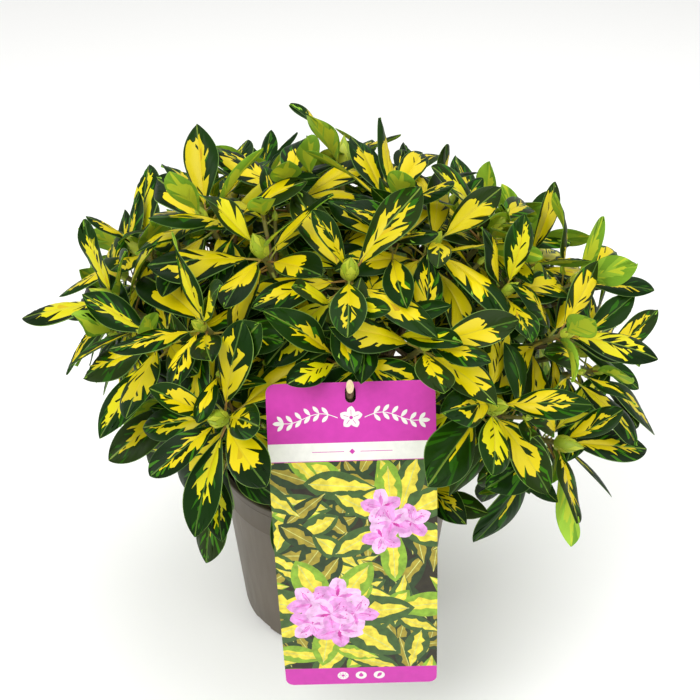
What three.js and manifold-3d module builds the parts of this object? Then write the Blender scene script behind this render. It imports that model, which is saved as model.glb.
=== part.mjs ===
// A potted rhododendron with variegated leaves: a nursery pot filled by its root ball, a short trunk and
// eighteen boughs, nineteen masses of foliage in whorls round fat buds, and a printed card that hangs from
// a pruned stub. Millimetres, +Z up. The origin is the middle of the pot's flat underside. The front is -Y.
// A turn is an angle round the pot's axis, 0 at the front and 90 at +X. A rise is an angle above the level.
import * as THREE from "three";
import { mergeVertices } from "three/addons/utils/BufferGeometryUtils.js";
import Module from "manifold-3d";

const wasm = await Module();
wasm.setup();

// ---------------------------------------------------------------- driving dimensions

const CLEARANCE = 0.3; // between solids that would otherwise touch

const POT = {
  height: 172,
  rimRadius: 113,
  rimBevel: 1,
  lipHeight: 7,
  lipWidth: 3,
  baseRadius: 94,
  baseRounding: 7,
  wall: 2.2,
  floor: 12,
  facets: 40,
};

// Drainage notches, in the edge of the base.
const NOTCH = { count: 8, firstTurn: -51, width: 27, height: 5, depth: 8 };

// The soil rises gently to a level crown, with a shoulder at this share of its radius.
const SOIL = { belowRim: 11, crown: 3, crownRadius: 30, shoulder: 0.7 };

const TRUNK = {
  height: 104,
  baseRadius: 9,
  tipRadius: 5,
  flare: 5,
  flareHeight: 8,
  lean: 6,
  sway: 0.8, // of a half wave that the lean makes on its way up
  sides: 10,
  steps: 9,
  crowding: 1.5, // how much closer its rings stand at the flare
};

const BOUGH = {
  baseRadius: 4,
  tipRadius: 3.6,
  sides: 6,
  steps: 4,
  lowest: 9, // up the trunk
  highest: 96,
  reach: 0.5, // of the way to the middle of its shoots
  bendOut: 0.62, // of its spread, where it turns up
  bendUp: 0.3, // of its height there
};

const TWIG = {
  forkRadius: 3.6,
  tipRadius: 3.2,
  sides: 3,
  bendSteps: 3,
  fork: 0.16, // of the way from its bough to the middle of its shoots
  bend: 0.45, // of its length, straight below its shoot
};

// A shoot rises this steeply at the crown's widest level, and by this share of the dome's rise above it.
const SHOOT = { rise: 12, share: 0.8 };

// The shoot tips lie on a dome. Leaves stand out of it by most of their length.
const DOME = { middle: 265, halfWidth: 240, halfDepth: 214, halfHeight: 178 };

// The turn and rise on the dome of each shoot tip, over the front half of the crown, from the lowest bough
// to the highest. A third number is how far a shoot stands back from the dome.
const FRONT_BOUGHS = {
  left_low: [[-62, 8, 85], [-98, 14, 80]],
  front_left_low: [[-22, 21], [-41, 18, 60], [-27, 2, 35]],
  left_mid: [[-50, 33, 20], [-72, 33, 8], [-92, 42, 14]],
  front_low: [[18, -4, 62], [-13, -8, 55]],
  front_right_low: [[32, 21], [51, 1, 6], [68, 13]],
  front_right_mid: [[60, 28], [84, 31]],
  front_high: [[5, 57], [2, 37, 20], [21, 38]],
  front_right_high: [[42, 61], [51, 44], [76, 56]],
  front_left_high: [[-29, 61], [-33, 40], [-72, 62]],
};
const LEADER = [[56, 76], [-68, 79], [175, 73]]; // carried by the trunk's own tip
const OPPOSITE = { front: "back", left: "right", right: "left" };
const STRAY = { most: 7, turnSeed: 71, riseSeed: 72 }; // degrees from the place opposite a front shoot
const SET_BACK = 20; // how far the shoots opposite the front ones stand back from the dome

const LEAF = {
  length: 97,
  youngest: 0.68, // of the full length
  width: 0.34, // of its own length
  widest: 0.56, // of the way to the tip
  thickness: 1.5,
  footDepth: 2.2,
  fewest: 7,
  most: 9,
  uprightAngle: 34, // between the youngest leaf and its shoot
  spreadAngle: 86, // between the oldest leaf and its shoot
  spreadPower: 0.8, // below 1 the young leaves open early
  firstDroop: 18,
  lastDroop: 52,
  faceUp: 0.3, // how far its face turns from along the shoot to straight up
  petiole: 0.18, // of the length
  sunk: 0.6, // past the middle of its twig
  firstDown: 3, // from the shoot's tip down to its youngest leaf
  whorl: 26, // and down to the oldest
};

// How far leaves differ: in degrees of turn, angle and roll, and in shares of their length and droop.
const UNEVEN = {
  turn: 12,
  angle: 9,
  roll: 22,
  shortest: 0.86,
  longest: 1.04,
  leastDroop: 0.6,
  mostDroop: 1.4,
};
const GOLDEN_ANGLE = 137.508;
const MARGIN = 1.2; // a leaf is tried this much larger all round before it is kept

// What a leaf that has no room tries in turn: degrees of lift, degrees of swing, and a share of its length.
const TRIES = [
  [0, 0, 1], [-13, 0, 1], [13, 0, 1], [0, 17, 1],
  [0, -17, 1], [-20, 10, 0.86], [16, -10, 0.86], [-10, 0, 0.7],
];

const BUD = {
  length: 19,
  radius: 6,
  slimLength: 14,
  slimRadius: 3.4,
  fatShare: 0.6, // of all buds
  sides: 5,
  sunk: 2,
  fullestUp: 0.34, // of its length
  shoulderUp: 0.72,
  shoulder: 0.7, // of its radius
};

const CARD = {
  width: 125.5,
  length: 283,
  thickness: 0.9,
  cornerRadius: 7,
  topLean: 27, // degrees off the vertical, leaning back
  bottomLean: -4,
  skew: 2, // degrees that it hangs askew
  top: { x: 12, y: -175, z: 354 },
  steps: 9,
  slot: { width: 8, length: 13, fromTop: 2.5 },
};

const STUB = {
  footHeight: 56, // up the trunk
  baseRadius: 4.4,
  tipRadius: 2.9,
  rise: 62, // as it comes through the slot
  bend: 90, // before the slot
  past: 22, // beyond the slot
  cutRise: -4, // of the way the cut looks
  cutFrom: 10, // beyond the slot
  sides: 8,
  steps: 9,
};

// ---------------------------------------------------------------- helpers

const { degToRad, lerp, inverseLerp } = THREE.MathUtils;
const UP = new THREE.Vector3(0, 0, 1);
const ASKEW = new THREE.Vector3(0.31, 0.95, 0.11); // no limb sets out this way

// The same number from 0 to 1 for the same keys, whatever the order in which it is asked for.
function chance(...keys) {
  let h = 0x2545f491;
  for (const key of keys) {
    h = Math.imul(h ^ (key + 0x9e3779b9), 0x85ebca6b) >>> 0;
    h ^= h >>> 13;
    h = Math.imul(h, 0xc2b2ae35) >>> 0;
    h ^= h >>> 16;
  }
  return (h >>> 0) / 2 ** 32;
}

const between = (low, high, ...keys) => lerp(low, high, chance(...keys));

// A closed geometry as a manifold-3d solid.
function toSolid(geometry) {
  const bare = new THREE.BufferGeometry();
  bare.setAttribute("position", geometry.getAttribute("position"));
  if (geometry.index) bare.setIndex(geometry.index);
  const merged = mergeVertices(bare, 1e-4);
  return new wasm.Manifold(
    new wasm.Mesh({
      numProp: 3,
      vertProperties: merged.getAttribute("position").array,
      triVerts: new Uint32Array(merged.index.array),
    }),
  );
}

function toGeometry(solid) {
  const mesh = solid.getMesh();
  const geometry = new THREE.BufferGeometry();
  geometry.setAttribute("position", new THREE.BufferAttribute(mesh.vertProperties, 3));
  geometry.setIndex(new THREE.BufferAttribute(mesh.triVerts, 1));
  geometry.computeVertexNormals();
  return geometry;
}

function fromPoints(points, faces) {
  const geometry = new THREE.BufferGeometry().setFromPoints(points);
  geometry.setIndex(faces.flat());
  return geometry;
}

// A profile of [radius, height] pairs, from the axis round to the axis, turned about Z.
function turned(profile, facets) {
  const points = profile.map(([radius, height]) => new THREE.Vector2(radius, height));
  return new THREE.LatheGeometry(points, facets).rotateX(Math.PI / 2);
}

// A closed skin over rings of points, each ring running the same way round.
function skin(rings) {
  const sides = rings[0].length;
  const faces = [];
  for (let i = 0; i + 1 < rings.length; i++)
    for (let j = 0; j < sides; j++) {
      const [a, b] = [i * sides + j, i * sides + ((j + 1) % sides)];
      faces.push([a, b, b + sides], [a, b + sides, a + sides]);
    }
  const last = (rings.length - 1) * sides;
  for (let j = 1; j + 1 < sides; j++) faces.push([0, j + 1, j], [last, last + j, last + j + 1]);
  return fromPoints(rings.flat(), faces);
}

function ring(middle, across, along, radius, sides) {
  return Array.from({ length: sides }, (_, j) => {
    const angle = (2 * Math.PI * j) / sides;
    const point = middle.clone().addScaledVector(across, radius * Math.cos(angle));
    return point.addScaledVector(along, radius * Math.sin(angle));
  });
}

// A tapering limb along a line of points, its rings square to the line and not twisted.
function limb(points, startRadius, endRadius, sides) {
  let across = ASKEW;
  const rings = points.map((point, i) => {
    const before = points[Math.max(i - 1, 0)];
    const after = points[Math.min(i + 1, points.length - 1)];
    const ahead = after.clone().sub(before).normalize();
    across = across.clone().addScaledVector(ahead, -across.dot(ahead)).normalize();
    const along = new THREE.Vector3().crossVectors(ahead, across);
    return ring(point, across, along, lerp(startRadius, endRadius, i / (points.length - 1)), sides);
  });
  return skin(rings);
}

// Outwards along a turn and up by a rise, as a direction.
function heading(turn, rise) {
  const [t, r] = [degToRad(turn), degToRad(rise)];
  return new THREE.Vector3(Math.sin(t) * Math.cos(r), -Math.cos(t) * Math.cos(r), Math.sin(r));
}

// ---------------------------------------------------------------- pot and root ball

function pot() {
  const { height, rimRadius, rimBevel, lipHeight, baseRadius, baseRounding, wall, floor, facets } = POT;
  const topRadius = rimRadius - POT.lipWidth;
  const rounded = [0, Math.PI / 4, Math.PI / 2].map((angle) => [
    baseRadius - baseRounding * (1 - Math.sin(angle)),
    baseRounding * (1 - Math.cos(angle)),
  ]);
  const profile = [
    [0, 0],
    ...rounded,
    [topRadius, height - lipHeight],
    [rimRadius, height - lipHeight],
    [rimRadius, height - rimBevel],
    [rimRadius - rimBevel, height],
    [topRadius - wall, height],
    [baseRadius - wall, floor],
    [0, floor],
  ];
  const reach = 2 * NOTCH.depth;
  const notches = Array.from({ length: NOTCH.count }, (_, i) =>
    toSolid(
      new THREE.BoxGeometry(NOTCH.width, reach, 2 * NOTCH.height)
        .translate(0, -(baseRadius - NOTCH.depth + reach / 2), 0)
        .rotateZ(degToRad(NOTCH.firstTurn + (360 * i) / NOTCH.count)),
    ),
  );
  return toGeometry(toSolid(turned(profile, facets)).subtract(wasm.Manifold.union(notches)));
}

const SOIL_TOP = POT.height - SOIL.belowRim;

// The inside radius of the pot at a height.
function potInside(z) {
  const share = inverseLerp(POT.floor, POT.height, z);
  return lerp(POT.baseRadius, POT.rimRadius - POT.lipWidth, share) - POT.wall;
}

function rootBall() {
  const bottom = POT.floor + CLEARANCE;
  const edge = SOIL_TOP - SOIL.crown;
  const gap = 2 * CLEARANCE; // the flats of the pot's wall come in a little from its radius
  const profile = [
    [0, bottom],
    [potInside(bottom) - gap, bottom],
    [potInside(edge) - gap, edge],
    [potInside(edge) * SOIL.shoulder, SOIL_TOP - SOIL.crown / 3],
    [SOIL.crownRadius, SOIL_TOP],
    [0, SOIL_TOP],
  ];
  return turned(profile, POT.facets);
}

// ---------------------------------------------------------------- trunk and boughs

const TRUNK_FOOT = SOIL_TOP + CLEARANCE;

function trunkAt(height) {
  const lean = TRUNK.lean * Math.sin((height / TRUNK.height) * Math.PI * TRUNK.sway);
  return new THREE.Vector3(lean, lean / 2, TRUNK_FOOT + height);
}

function trunkRadius(height) {
  const flare = TRUNK.flare * Math.exp(-height / TRUNK.flareHeight);
  return lerp(TRUNK.baseRadius, TRUNK.tipRadius, height / TRUNK.height) + flare;
}

// Its rings are level, so that the foot is a flat cut on the soil.
function trunk(extra = 0) {
  const [across, along] = [new THREE.Vector3(1, 0, 0), new THREE.Vector3(0, 1, 0)];
  const rings = Array.from({ length: TRUNK.steps + 1 }, (_, i) => {
    const height = TRUNK.height * (i / TRUNK.steps) ** TRUNK.crowding;
    return ring(trunkAt(height), across, along, trunkRadius(height) + extra, TRUNK.sides);
  });
  return skin(rings);
}

// Where a shoot's tip is. It stands back from the dome along its own heading.
const tipOf = ([turn, rise, back = 0]) => {
  const size = new THREE.Vector3(DOME.halfWidth, DOME.halfDepth, DOME.halfHeight);
  const way = heading(turn, rise);
  return way.clone().multiply(size).addScaledVector(way, -back).addScaledVector(UP, DOME.middle);
};

const middleOf = (shoots) =>
  shoots.reduce((sum, shoot) => sum.add(tipOf(shoot)), new THREE.Vector3()).divideScalar(shoots.length);

// Each front bough is followed by its opposite, which repeats it half a turn on with some stray.
function listBoughs() {
  const pairs = Object.entries(FRONT_BOUGHS).map(([name, shoots], i) => [
    { name, shoots },
    {
      name: name.split("_").map((word) => OPPOSITE[word] ?? word).join("_"),
      shoots: shoots.map(([turn, rise], j) => [
        turn + 180 + between(-STRAY.most, STRAY.most, STRAY.turnSeed, i, j),
        rise + between(-STRAY.most, STRAY.most, STRAY.riseSeed, i, j) / 2,
        SET_BACK,
      ]),
    },
  ]);
  return pairs.flat().map((bough, index) => ({ ...bough, index }));
}

// Boughs leave the trunk one above the other, and bend up on their way to their masses.
function boughLine({ shoots, index }, count) {
  const heart = middleOf(shoots);
  const foot = trunkAt(lerp(BOUGH.lowest, BOUGH.highest, index / (count - 1)));
  const tip = foot.clone().lerp(heart, BOUGH.reach);
  const level = new THREE.Vector3(tip.x - foot.x, tip.y - foot.y, 0);
  const bend = foot.clone().addScaledVector(level, BOUGH.bendOut);
  bend.addScaledVector(UP, (tip.z - foot.z) * BOUGH.bendUp);
  return new THREE.QuadraticBezierCurve3(foot, bend, tip).getSpacedPoints(BOUGH.steps);
}

// ---------------------------------------------------------------- leaves, buds and twigs

// The way a shoot points at its tip: outwards low on the crown, and nearly straight up at its top.
const shootWay = ([turn, rise]) => heading(turn, SHOOT.rise + rise * SHOOT.share);

// A twig bends from its mass's fork to its shoot, whose leafy end is straight.
function twigLine(fork, shoot) {
  const tip = tipOf(shoot);
  const way = shootWay(shoot);
  const collar = tip.clone().addScaledVector(way, -LEAF.whorl);
  const bend = collar.clone().addScaledVector(way, -TWIG.bend * collar.distanceTo(fork));
  return [...new THREE.QuadraticBezierCurve3(fork, bend, collar).getSpacedPoints(TWIG.bendSteps), tip];
}

// The place on a line this far back from its end, and the way that the line runs there.
function backFromEnd(points, distance) {
  let left = distance;
  let i = points.length - 1;
  while (i > 1 && left > points[i].distanceTo(points[i - 1])) {
    left -= points[i].distanceTo(points[i - 1]);
    i--;
  }
  const way = points[i].clone().sub(points[i - 1]);
  const length = way.length();
  way.divideScalar(length);
  return { place: points[i].clone().addScaledVector(way, -Math.min(left, length)), way };
}

// The leaves of a whorl, the youngest first, and how far each is down from the shoot's tip.
function leafSites(key) {
  const count = Math.round(between(LEAF.fewest, LEAF.most, key, 0));
  return Array.from({ length: count }, (_, i) => {
    const age = i / (count - 1);
    return { i, age, down: lerp(LEAF.firstDown, LEAF.whorl, age) };
  });
}

// One leaf's foot on its twig, the way it sets out, the way its face looks, its length, droop and roll.
function leafPlace(line, key, { i, age, down }, [lift, swing, share]) {
  const { place, way } = backFromEnd(line, down);
  const uneven = (most, choice) => between(-most, most, key, choice, i);
  const turn = i * GOLDEN_ANGLE + 360 * chance(key, 1) + uneven(UNEVEN.turn, 2) + swing;
  const spread = lerp(LEAF.uprightAngle, LEAF.spreadAngle, age ** LEAF.spreadPower);
  const angle = degToRad(spread + uneven(UNEVEN.angle, 3) + lift);
  const radial = new THREE.Vector3().crossVectors(way, UP).normalize().applyAxisAngle(way, degToRad(turn));
  const out = way.clone().multiplyScalar(Math.cos(angle)).addScaledVector(radial, Math.sin(angle));
  const face = way.clone().lerp(UP, LEAF.faceUp);
  face.addScaledVector(out, -face.dot(out)).normalize();
  const luck = between(UNEVEN.shortest, UNEVEN.longest, key, 4, i);
  const grown = lerp(LEAF.youngest, 1, Math.sqrt(age)) * luck;
  const droop = lerp(LEAF.firstDroop, LEAF.lastDroop, age);
  return {
    foot: place.addScaledVector(out, -LEAF.sunk),
    out,
    face,
    length: LEAF.length * grown * share,
    droop: degToRad(droop * between(UNEVEN.leastDroop, UNEVEN.mostDroop, key, 5, i)),
    roll: degToRad(uneven(UNEVEN.roll, 6)),
  };
}

// The point on a leaf's arc at a share of the way along it, with the way its face looks and its side there.
function alongLeaf({ foot, out, face, length, droop, roll }, share) {
  const bend = droop * share;
  const point = foot.clone().addScaledVector(out, (length / droop) * Math.sin(bend));
  point.addScaledVector(face, (length / droop) * (Math.cos(bend) - 1));
  const ahead = out.clone().multiplyScalar(Math.cos(bend)).addScaledVector(face, -Math.sin(bend));
  const normal = face.clone().multiplyScalar(Math.cos(bend)).addScaledVector(out, Math.sin(bend));
  normal.applyAxisAngle(ahead, roll * share);
  return { point, normal, side: new THREE.Vector3().crossVectors(ahead, normal) };
}

// A leaf of eight faces: flat above on both sides of its widest line, and keeled by its midrib below.
function leafSolid(place, start = 0, margin = 0) {
  const foot = alongLeaf(place, start);
  const wide = alongLeaf(place, LEAF.widest);
  const tip = alongLeaf(place, 1 + margin / place.length).point;
  const half = (LEAF.width * place.length) / 2 + margin;
  const top = wide.point.clone().addScaledVector(wide.normal, margin / 2);
  const points = [
    foot.point.clone().addScaledVector(foot.normal, LEAF.footDepth / 2),
    foot.point.clone().addScaledVector(foot.normal, -LEAF.footDepth / 2),
    top.clone().addScaledVector(wide.side, -half),
    top.clone().addScaledVector(wide.side, half),
    tip,
    wide.point.clone().addScaledVector(wide.normal, -LEAF.thickness - margin / 2),
  ];
  const faces = [
    [0, 3, 2], [2, 3, 4], [1, 2, 5], [2, 4, 5],
    [4, 3, 5], [3, 1, 5], [0, 2, 1], [0, 1, 3],
  ];
  return toSolid(fromPoints(points, faces));
}

function bud(shoot, key) {
  const fat = chance(key, 9) < BUD.fatShare;
  const [length, radius] = fat ? [BUD.length, BUD.radius] : [BUD.slimLength, BUD.slimRadius];
  const profile = [
    [0, -BUD.sunk],
    [radius, length * BUD.fullestUp],
    [radius * BUD.shoulder, length * BUD.shoulderUp],
    [0, length],
  ];
  const turn = new THREE.Quaternion().setFromUnitVectors(UP, shootWay(shoot));
  return toSolid(turned(profile, BUD.sides).applyQuaternion(turn).translate(...tipOf(shoot)));
}

// The number that a shoot's random choices start from.
const keyOf = (mass, s) => mass * 10 + s;

// A mass's stem runs on from its bough or the trunk to a fork, and a twig from the fork to each shoot's bud.
function massWood(line, { shoots, index }) {
  const { place, way } = backFromEnd(line, 0);
  const from = place.addScaledVector(way, CLEARANCE);
  const fork = from.clone().lerp(middleOf(shoots), TWIG.fork).addScaledVector(way, TWIG.forkRadius);
  const lines = shoots.map((shoot) => twigLine(fork, shoot));
  const square = from.clone().addScaledVector(way, BOUGH.tipRadius);
  const past = fork.clone().addScaledVector(fork.clone().sub(square).normalize(), TWIG.forkRadius / 2);
  const stem = limb([from, square, past], BOUGH.tipRadius, TWIG.forkRadius, BOUGH.sides);
  const twigs = lines.map((twig) => toSolid(limb(twig, TWIG.forkRadius, TWIG.tipRadius, TWIG.sides)));
  const buds = shoots.map((shoot, s) => bud(shoot, keyOf(index, s)));
  return { lines, buds, wood: [toSolid(stem), ...twigs, ...buds] };
}

// ---------------------------------------------------------------- hanging card and its stub

// The card's middle line from top to bottom: it leans back at the top and is nearly upright below.
function cardLine() {
  let [y, z] = [CARD.top.y, CARD.top.z];
  const step = CARD.length / CARD.steps;
  const line = [];
  for (let i = 0; i <= CARD.steps; i++) {
    const lean = degToRad(lerp(CARD.bottomLean, CARD.topLean, (1 - i / CARD.steps) ** 2));
    line.push({ y, z, lean });
    y -= step * Math.sin(lean);
    z -= step * Math.cos(lean);
  }
  return line;
}

// A shape with round corners, its middle a given height up.
function roundedBox(target, width, height, radius, up = 0) {
  const [x, y] = [width / 2 - radius, height / 2 - radius];
  target.absarc(x, up - y, radius, -Math.PI / 2, 0, false);
  target.absarc(x, up + y, radius, 0, Math.PI / 2, false);
  target.absarc(-x, up + y, radius, Math.PI / 2, Math.PI, false);
  target.absarc(-x, up - y, radius, Math.PI, Math.PI * 1.5, false);
  return target;
}

// A bent strip as thick as the card, cut to its outline with round corners and a slot, and hung askew.
function card() {
  const line = cardLine();
  const offset = (out) => (point) =>
    new THREE.Vector2(point.y - out * Math.cos(point.lean), point.z + out * Math.sin(point.lean));
  const half = CARD.thickness / 2;
  const strip = new THREE.Shape([...line.map(offset(half)), ...line.toReversed().map(offset(-half))]);
  const spare = 2; // of strip past the outline on each side
  const bent = new THREE.ExtrudeGeometry(strip, { depth: CARD.width + 2 * spare, bevelEnabled: false });
  // The strip is drawn in Y and Z, so X goes to Y, Y to Z and the depth to X.
  bent.translate(0, 0, -CARD.width / 2 - spare).rotateZ(Math.PI / 2).rotateY(Math.PI / 2);
  const bottom = line[CARD.steps].z;
  const tall = CARD.top.z - bottom;
  const { slot } = CARD;
  const outline = roundedBox(new THREE.Shape(), CARD.width, tall, CARD.cornerRadius);
  const slotUp = tall / 2 - slot.fromTop - slot.length / 2;
  outline.holes.push(roundedBox(new THREE.Path(), slot.width, slot.length, slot.width / 2, slotUp));
  const deep = -2 * CARD.top.y;
  const cutter = new THREE.ExtrudeGeometry(outline, { depth: deep, bevelEnabled: false, curveSegments: 5 });
  cutter.rotateX(Math.PI / 2).translate(0, 0, (CARD.top.z + bottom) / 2);
  const cut = toGeometry(toSolid(bent).intersect(toSolid(cutter)));
  const { x, y, z } = CARD.top;
  return toSolid(cut.translate(0, -y, -z).rotateY(-degToRad(CARD.skew)).translate(x, y, z));
}

// A pruned shoot that runs out from the trunk and up through the card's slot, to a long slanting cut.
function stub(extra = 0) {
  const foot = trunkAt(STUB.footHeight);
  const lean = degToRad(CARD.topLean);
  const down = CARD.slot.fromTop + CARD.slot.length / 2;
  const hang = new THREE.Vector3(CARD.top.x, CARD.top.y, CARD.top.z);
  hang.add(new THREE.Vector3(0, -Math.sin(lean), -Math.cos(lean)).multiplyScalar(down));
  const way = heading(0, STUB.rise);
  const tip = hang.clone().addScaledVector(way, STUB.past);
  const bend = hang.clone().addScaledVector(way, -STUB.bend);
  const line = new THREE.QuadraticBezierCurve3(foot, bend, tip).getSpacedPoints(STUB.steps);
  const size = 10 * STUB.baseRadius;
  const waste = new THREE.BoxGeometry(size, size, size).translate(0, -size / 2, 0);
  waste.rotateX(-degToRad(STUB.cutRise)).translate(...hang.clone().addScaledVector(way, STUB.cutFrom));
  const body = limb(line, STUB.baseRadius + extra, STUB.tipRadius + extra, STUB.sides);
  return toSolid(body).subtract(toSolid(waste));
}

// ---------------------------------------------------------------- the plant

const FINISH = {
  pot: { color: 0x6f6a63, roughness: 0.55 },
  soil: { color: 0x3a2a1d, roughness: 0.95 },
  bark: { color: 0x6d543c, roughness: 0.85 },
  foliage: { color: 0x8f9a20, roughness: 0.45 },
  card: { color: 0xc23aa8, roughness: 0.4 },
};

const plant = new THREE.Group();

function add(name, geometry, finish) {
  const material = new THREE.MeshStandardMaterial({ metalness: 0, ...FINISH[finish] });
  const mesh = new THREE.Mesh(geometry, material);
  mesh.name = name;
  plant.add(mesh);
  return toSolid(geometry);
}

const trunkClear = toSolid(trunk(CLEARANCE));
const standing = [
  add("pot", pot(), "pot"),
  add("root_ball", rootBall(), "soil"),
  add("trunk", trunk(), "bark"),
  add("pruned_stub", toGeometry(stub().subtract(trunkClear)), "bark"),
  add("hanging_card", toGeometry(card().subtract(stub(CLEARANCE))), "card"),
];

const boughs = listBoughs();
const masses = boughs.map((bough) => {
  const line = boughLine(bough, boughs.length);
  const body = toSolid(limb(line, BOUGH.baseRadius, BOUGH.tipRadius, BOUGH.sides));
  standing.push(add("bough_" + bough.name, toGeometry(body.subtract(trunkClear)), "bark"));
  return { ...bough, ...massWood(line, bough) };
});
const trunkTip = trunkAt(TRUNK.height);
const trunkLine = [trunkTip.clone().sub(UP), trunkTip];
const leader = { name: "leader", index: boughs.length, shoots: LEADER };
masses.push({ ...leader, ...massWood(trunkLine, leader) });

// A leaf is kept only where it clears all that stands. Near its foot it only has to clear the other masses.
const meets = (place, start, margin, solid) => !leafSolid(place, start, margin).intersect(solid).isEmpty();
let taken = wasm.Manifold.union([...standing, ...masses.flatMap(({ wood }) => wood)]);

for (const mass of masses) {
  const others = masses.filter((other) => other !== mass).flatMap(({ wood }) => wood);
  const foreign = wasm.Manifold.union([...standing, ...others]);
  mass.lines.forEach((line, s) => {
    const key = keyOf(mass.index, s);
    let whorl = mass.buds[s];
    for (const site of leafSites(key)) {
      const place = TRIES.map((change) => leafPlace(line, key, site, change)).find(
        (p) =>
          !meets(p, LEAF.petiole, CLEARANCE, whorl) &&
          !meets(p, LEAF.petiole, MARGIN, taken) &&
          !meets(p, 0, CLEARANCE, foreign),
      );
      if (place) whorl = whorl.add(leafSolid(place));
    }
    taken = taken.add(whorl);
    mass.wood.push(whorl);
  });
  standing.push(add("foliage_" + mass.name, toGeometry(wasm.Manifold.union(mass.wood)), "foliage"));
}

export default plant;
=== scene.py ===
import math
from collections import namedtuple

import bmesh
import bpy
import numpy as np
from bpy.props import FloatProperty, FloatVectorProperty, IntProperty, PointerProperty
from mathutils import Matrix, Quaternion, Vector, geometry, noise
from mathutils.bvhtree import BVHTree


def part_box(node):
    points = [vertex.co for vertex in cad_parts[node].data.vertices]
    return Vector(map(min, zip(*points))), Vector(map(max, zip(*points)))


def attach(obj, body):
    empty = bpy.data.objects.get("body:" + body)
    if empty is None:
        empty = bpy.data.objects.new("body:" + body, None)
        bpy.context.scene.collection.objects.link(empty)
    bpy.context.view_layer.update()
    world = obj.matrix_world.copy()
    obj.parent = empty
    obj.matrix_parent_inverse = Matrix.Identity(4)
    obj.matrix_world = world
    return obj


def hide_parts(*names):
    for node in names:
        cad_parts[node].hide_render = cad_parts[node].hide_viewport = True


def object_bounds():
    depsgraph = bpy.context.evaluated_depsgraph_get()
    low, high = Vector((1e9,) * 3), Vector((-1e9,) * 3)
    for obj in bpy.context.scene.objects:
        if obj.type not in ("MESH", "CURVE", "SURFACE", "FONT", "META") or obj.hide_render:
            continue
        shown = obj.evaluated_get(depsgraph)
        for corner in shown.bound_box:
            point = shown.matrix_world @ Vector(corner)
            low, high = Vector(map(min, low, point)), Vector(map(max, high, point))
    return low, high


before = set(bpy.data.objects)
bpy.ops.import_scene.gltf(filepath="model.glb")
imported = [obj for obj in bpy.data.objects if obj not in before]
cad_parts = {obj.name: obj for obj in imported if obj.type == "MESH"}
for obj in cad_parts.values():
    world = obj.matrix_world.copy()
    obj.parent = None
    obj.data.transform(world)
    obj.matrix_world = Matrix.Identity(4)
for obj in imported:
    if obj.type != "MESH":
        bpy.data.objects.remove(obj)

bl_info = {
    "name": "Potted Variegated Rhododendron",
    "version": (1, 0, 0),
    "blender": (4, 5, 0),
    "location": "3D View > Sidebar > Rhododendron",
    "description": "Makes the pot, soil, bark, twigs, buds, leaves and hanging card of a variegated rhododendron",
    "category": "Object",
}

CAD_LOW, CAD_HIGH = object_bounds()
UP = Vector((0, 0, 1))
GOLDEN_ANGLE = 137.508


def screen(red, green, blue):
    """A colour in screen values from 0 to 255, as a shader takes it."""
    shares = (value / 255 for value in (red, green, blue))
    return tuple(s / 12.92 if s <= 0.04045 else ((s + 0.055) / 1.055) ** 2.4 for s in shares)


# ---------------------------------------------------------------- sizes and colours that a user would change


def length(name, description, default):
    return FloatProperty(name=name, description=description, default=default, min=0, unit="LENGTH", precision=4)


def share(name, description, default):
    return FloatProperty(name=name, description=description, default=default, min=0, max=4, subtype="FACTOR")


def angle(name, description, degrees):
    return FloatProperty(name=name, description=description, default=math.radians(degrees), unit="ROTATION")


def colour(name, description, *values):
    return FloatVectorProperty(
        name=name, description=description, default=screen(*values), size=3, subtype="COLOR", min=0, max=1
    )


def count(name, description, default):
    return IntProperty(name=name, description=description, default=default, min=1)


class PotSizes(bpy.types.PropertyGroup):
    height: length("Height", "From the ground to the top of the rim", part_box("pot")[1].z)
    rim_radius: length("Rim radius", "Outside radius of the lip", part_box("pot")[1].x)
    lip_width: length("Lip width", "How far the lip stands out of the wall", 0.003)
    lip_height: length("Lip height", "How far the lip reaches down the wall", 0.007)
    base_radius: length("Base radius", "Outside radius above the rounded foot", 0.094)
    rounding: length("Foot rounding", "Radius of the rounded foot", 0.007)
    wall: length("Wall", "Thickness of the wall", 0.0022)
    floor: length("Floor", "Height of the inside floor", 0.012)
    parting_line: length("Parting line", "How far the mould's line lies below the rim", 0.034)
    notches: count("Notches", "Drainage notches in the foot", 8)
    facets: count("Facets", "Steps round the pot", 128)
    plastic: colour("Plastic", "Colour of the pot", 88, 79, 66)


class SoilSizes(bpy.types.PropertyGroup):
    below_rim: length("Below rim", "From the rim down to the middle of the soil", 0.011)
    relief: length("Relief", "Height of the lumps in the soil", 0.004)
    chips: count("Bark chips", "Pieces of bark on the soil", 420)
    chip_length: length("Chip length", "Length of a bark chip", 0.011)
    compost: colour("Compost", "Colour of the soil", 52, 36, 24)


class BarkSizes(bpy.types.PropertyGroup):
    relief: share("Relief", "Depth of the bark's furrows, as a share of the limb's radius", 0.13)
    furrow: length("Furrow", "Distance between furrows", 0.004)
    light: colour("Ridges", "Colour of the bark's ridges", 138, 112, 84)
    dark: colour("Furrows", "Colour between the bark's ridges", 66, 48, 34)
    cut_wood: colour("Cut wood", "Colour of freshly cut wood", 226, 208, 164)


class LeafSizes(bpy.types.PropertyGroup):
    length: length("Length", "Longest leaf, with its stalk", 0.097)
    width: share("Width", "Width as a share of the length", 0.35)
    fewest: count("Fewest leaves", "Leaves of the thinnest whorl", 9)
    most: count("Most leaves", "Leaves of the fullest whorl", 12)
    older: count("Older leaves", "Last year's leaves on each twig", 2)
    fold: share("Fold", "How far each half rises from the midrib", 0.22)
    curl: share("Curl", "How far the margins roll down", 0.32)
    wave: share("Wave", "How far the margin waves, as a share of the length", 0.016)
    sickle: share("Sickle", "How far the tip strays aside, as a share of the length", 0.09)


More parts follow.
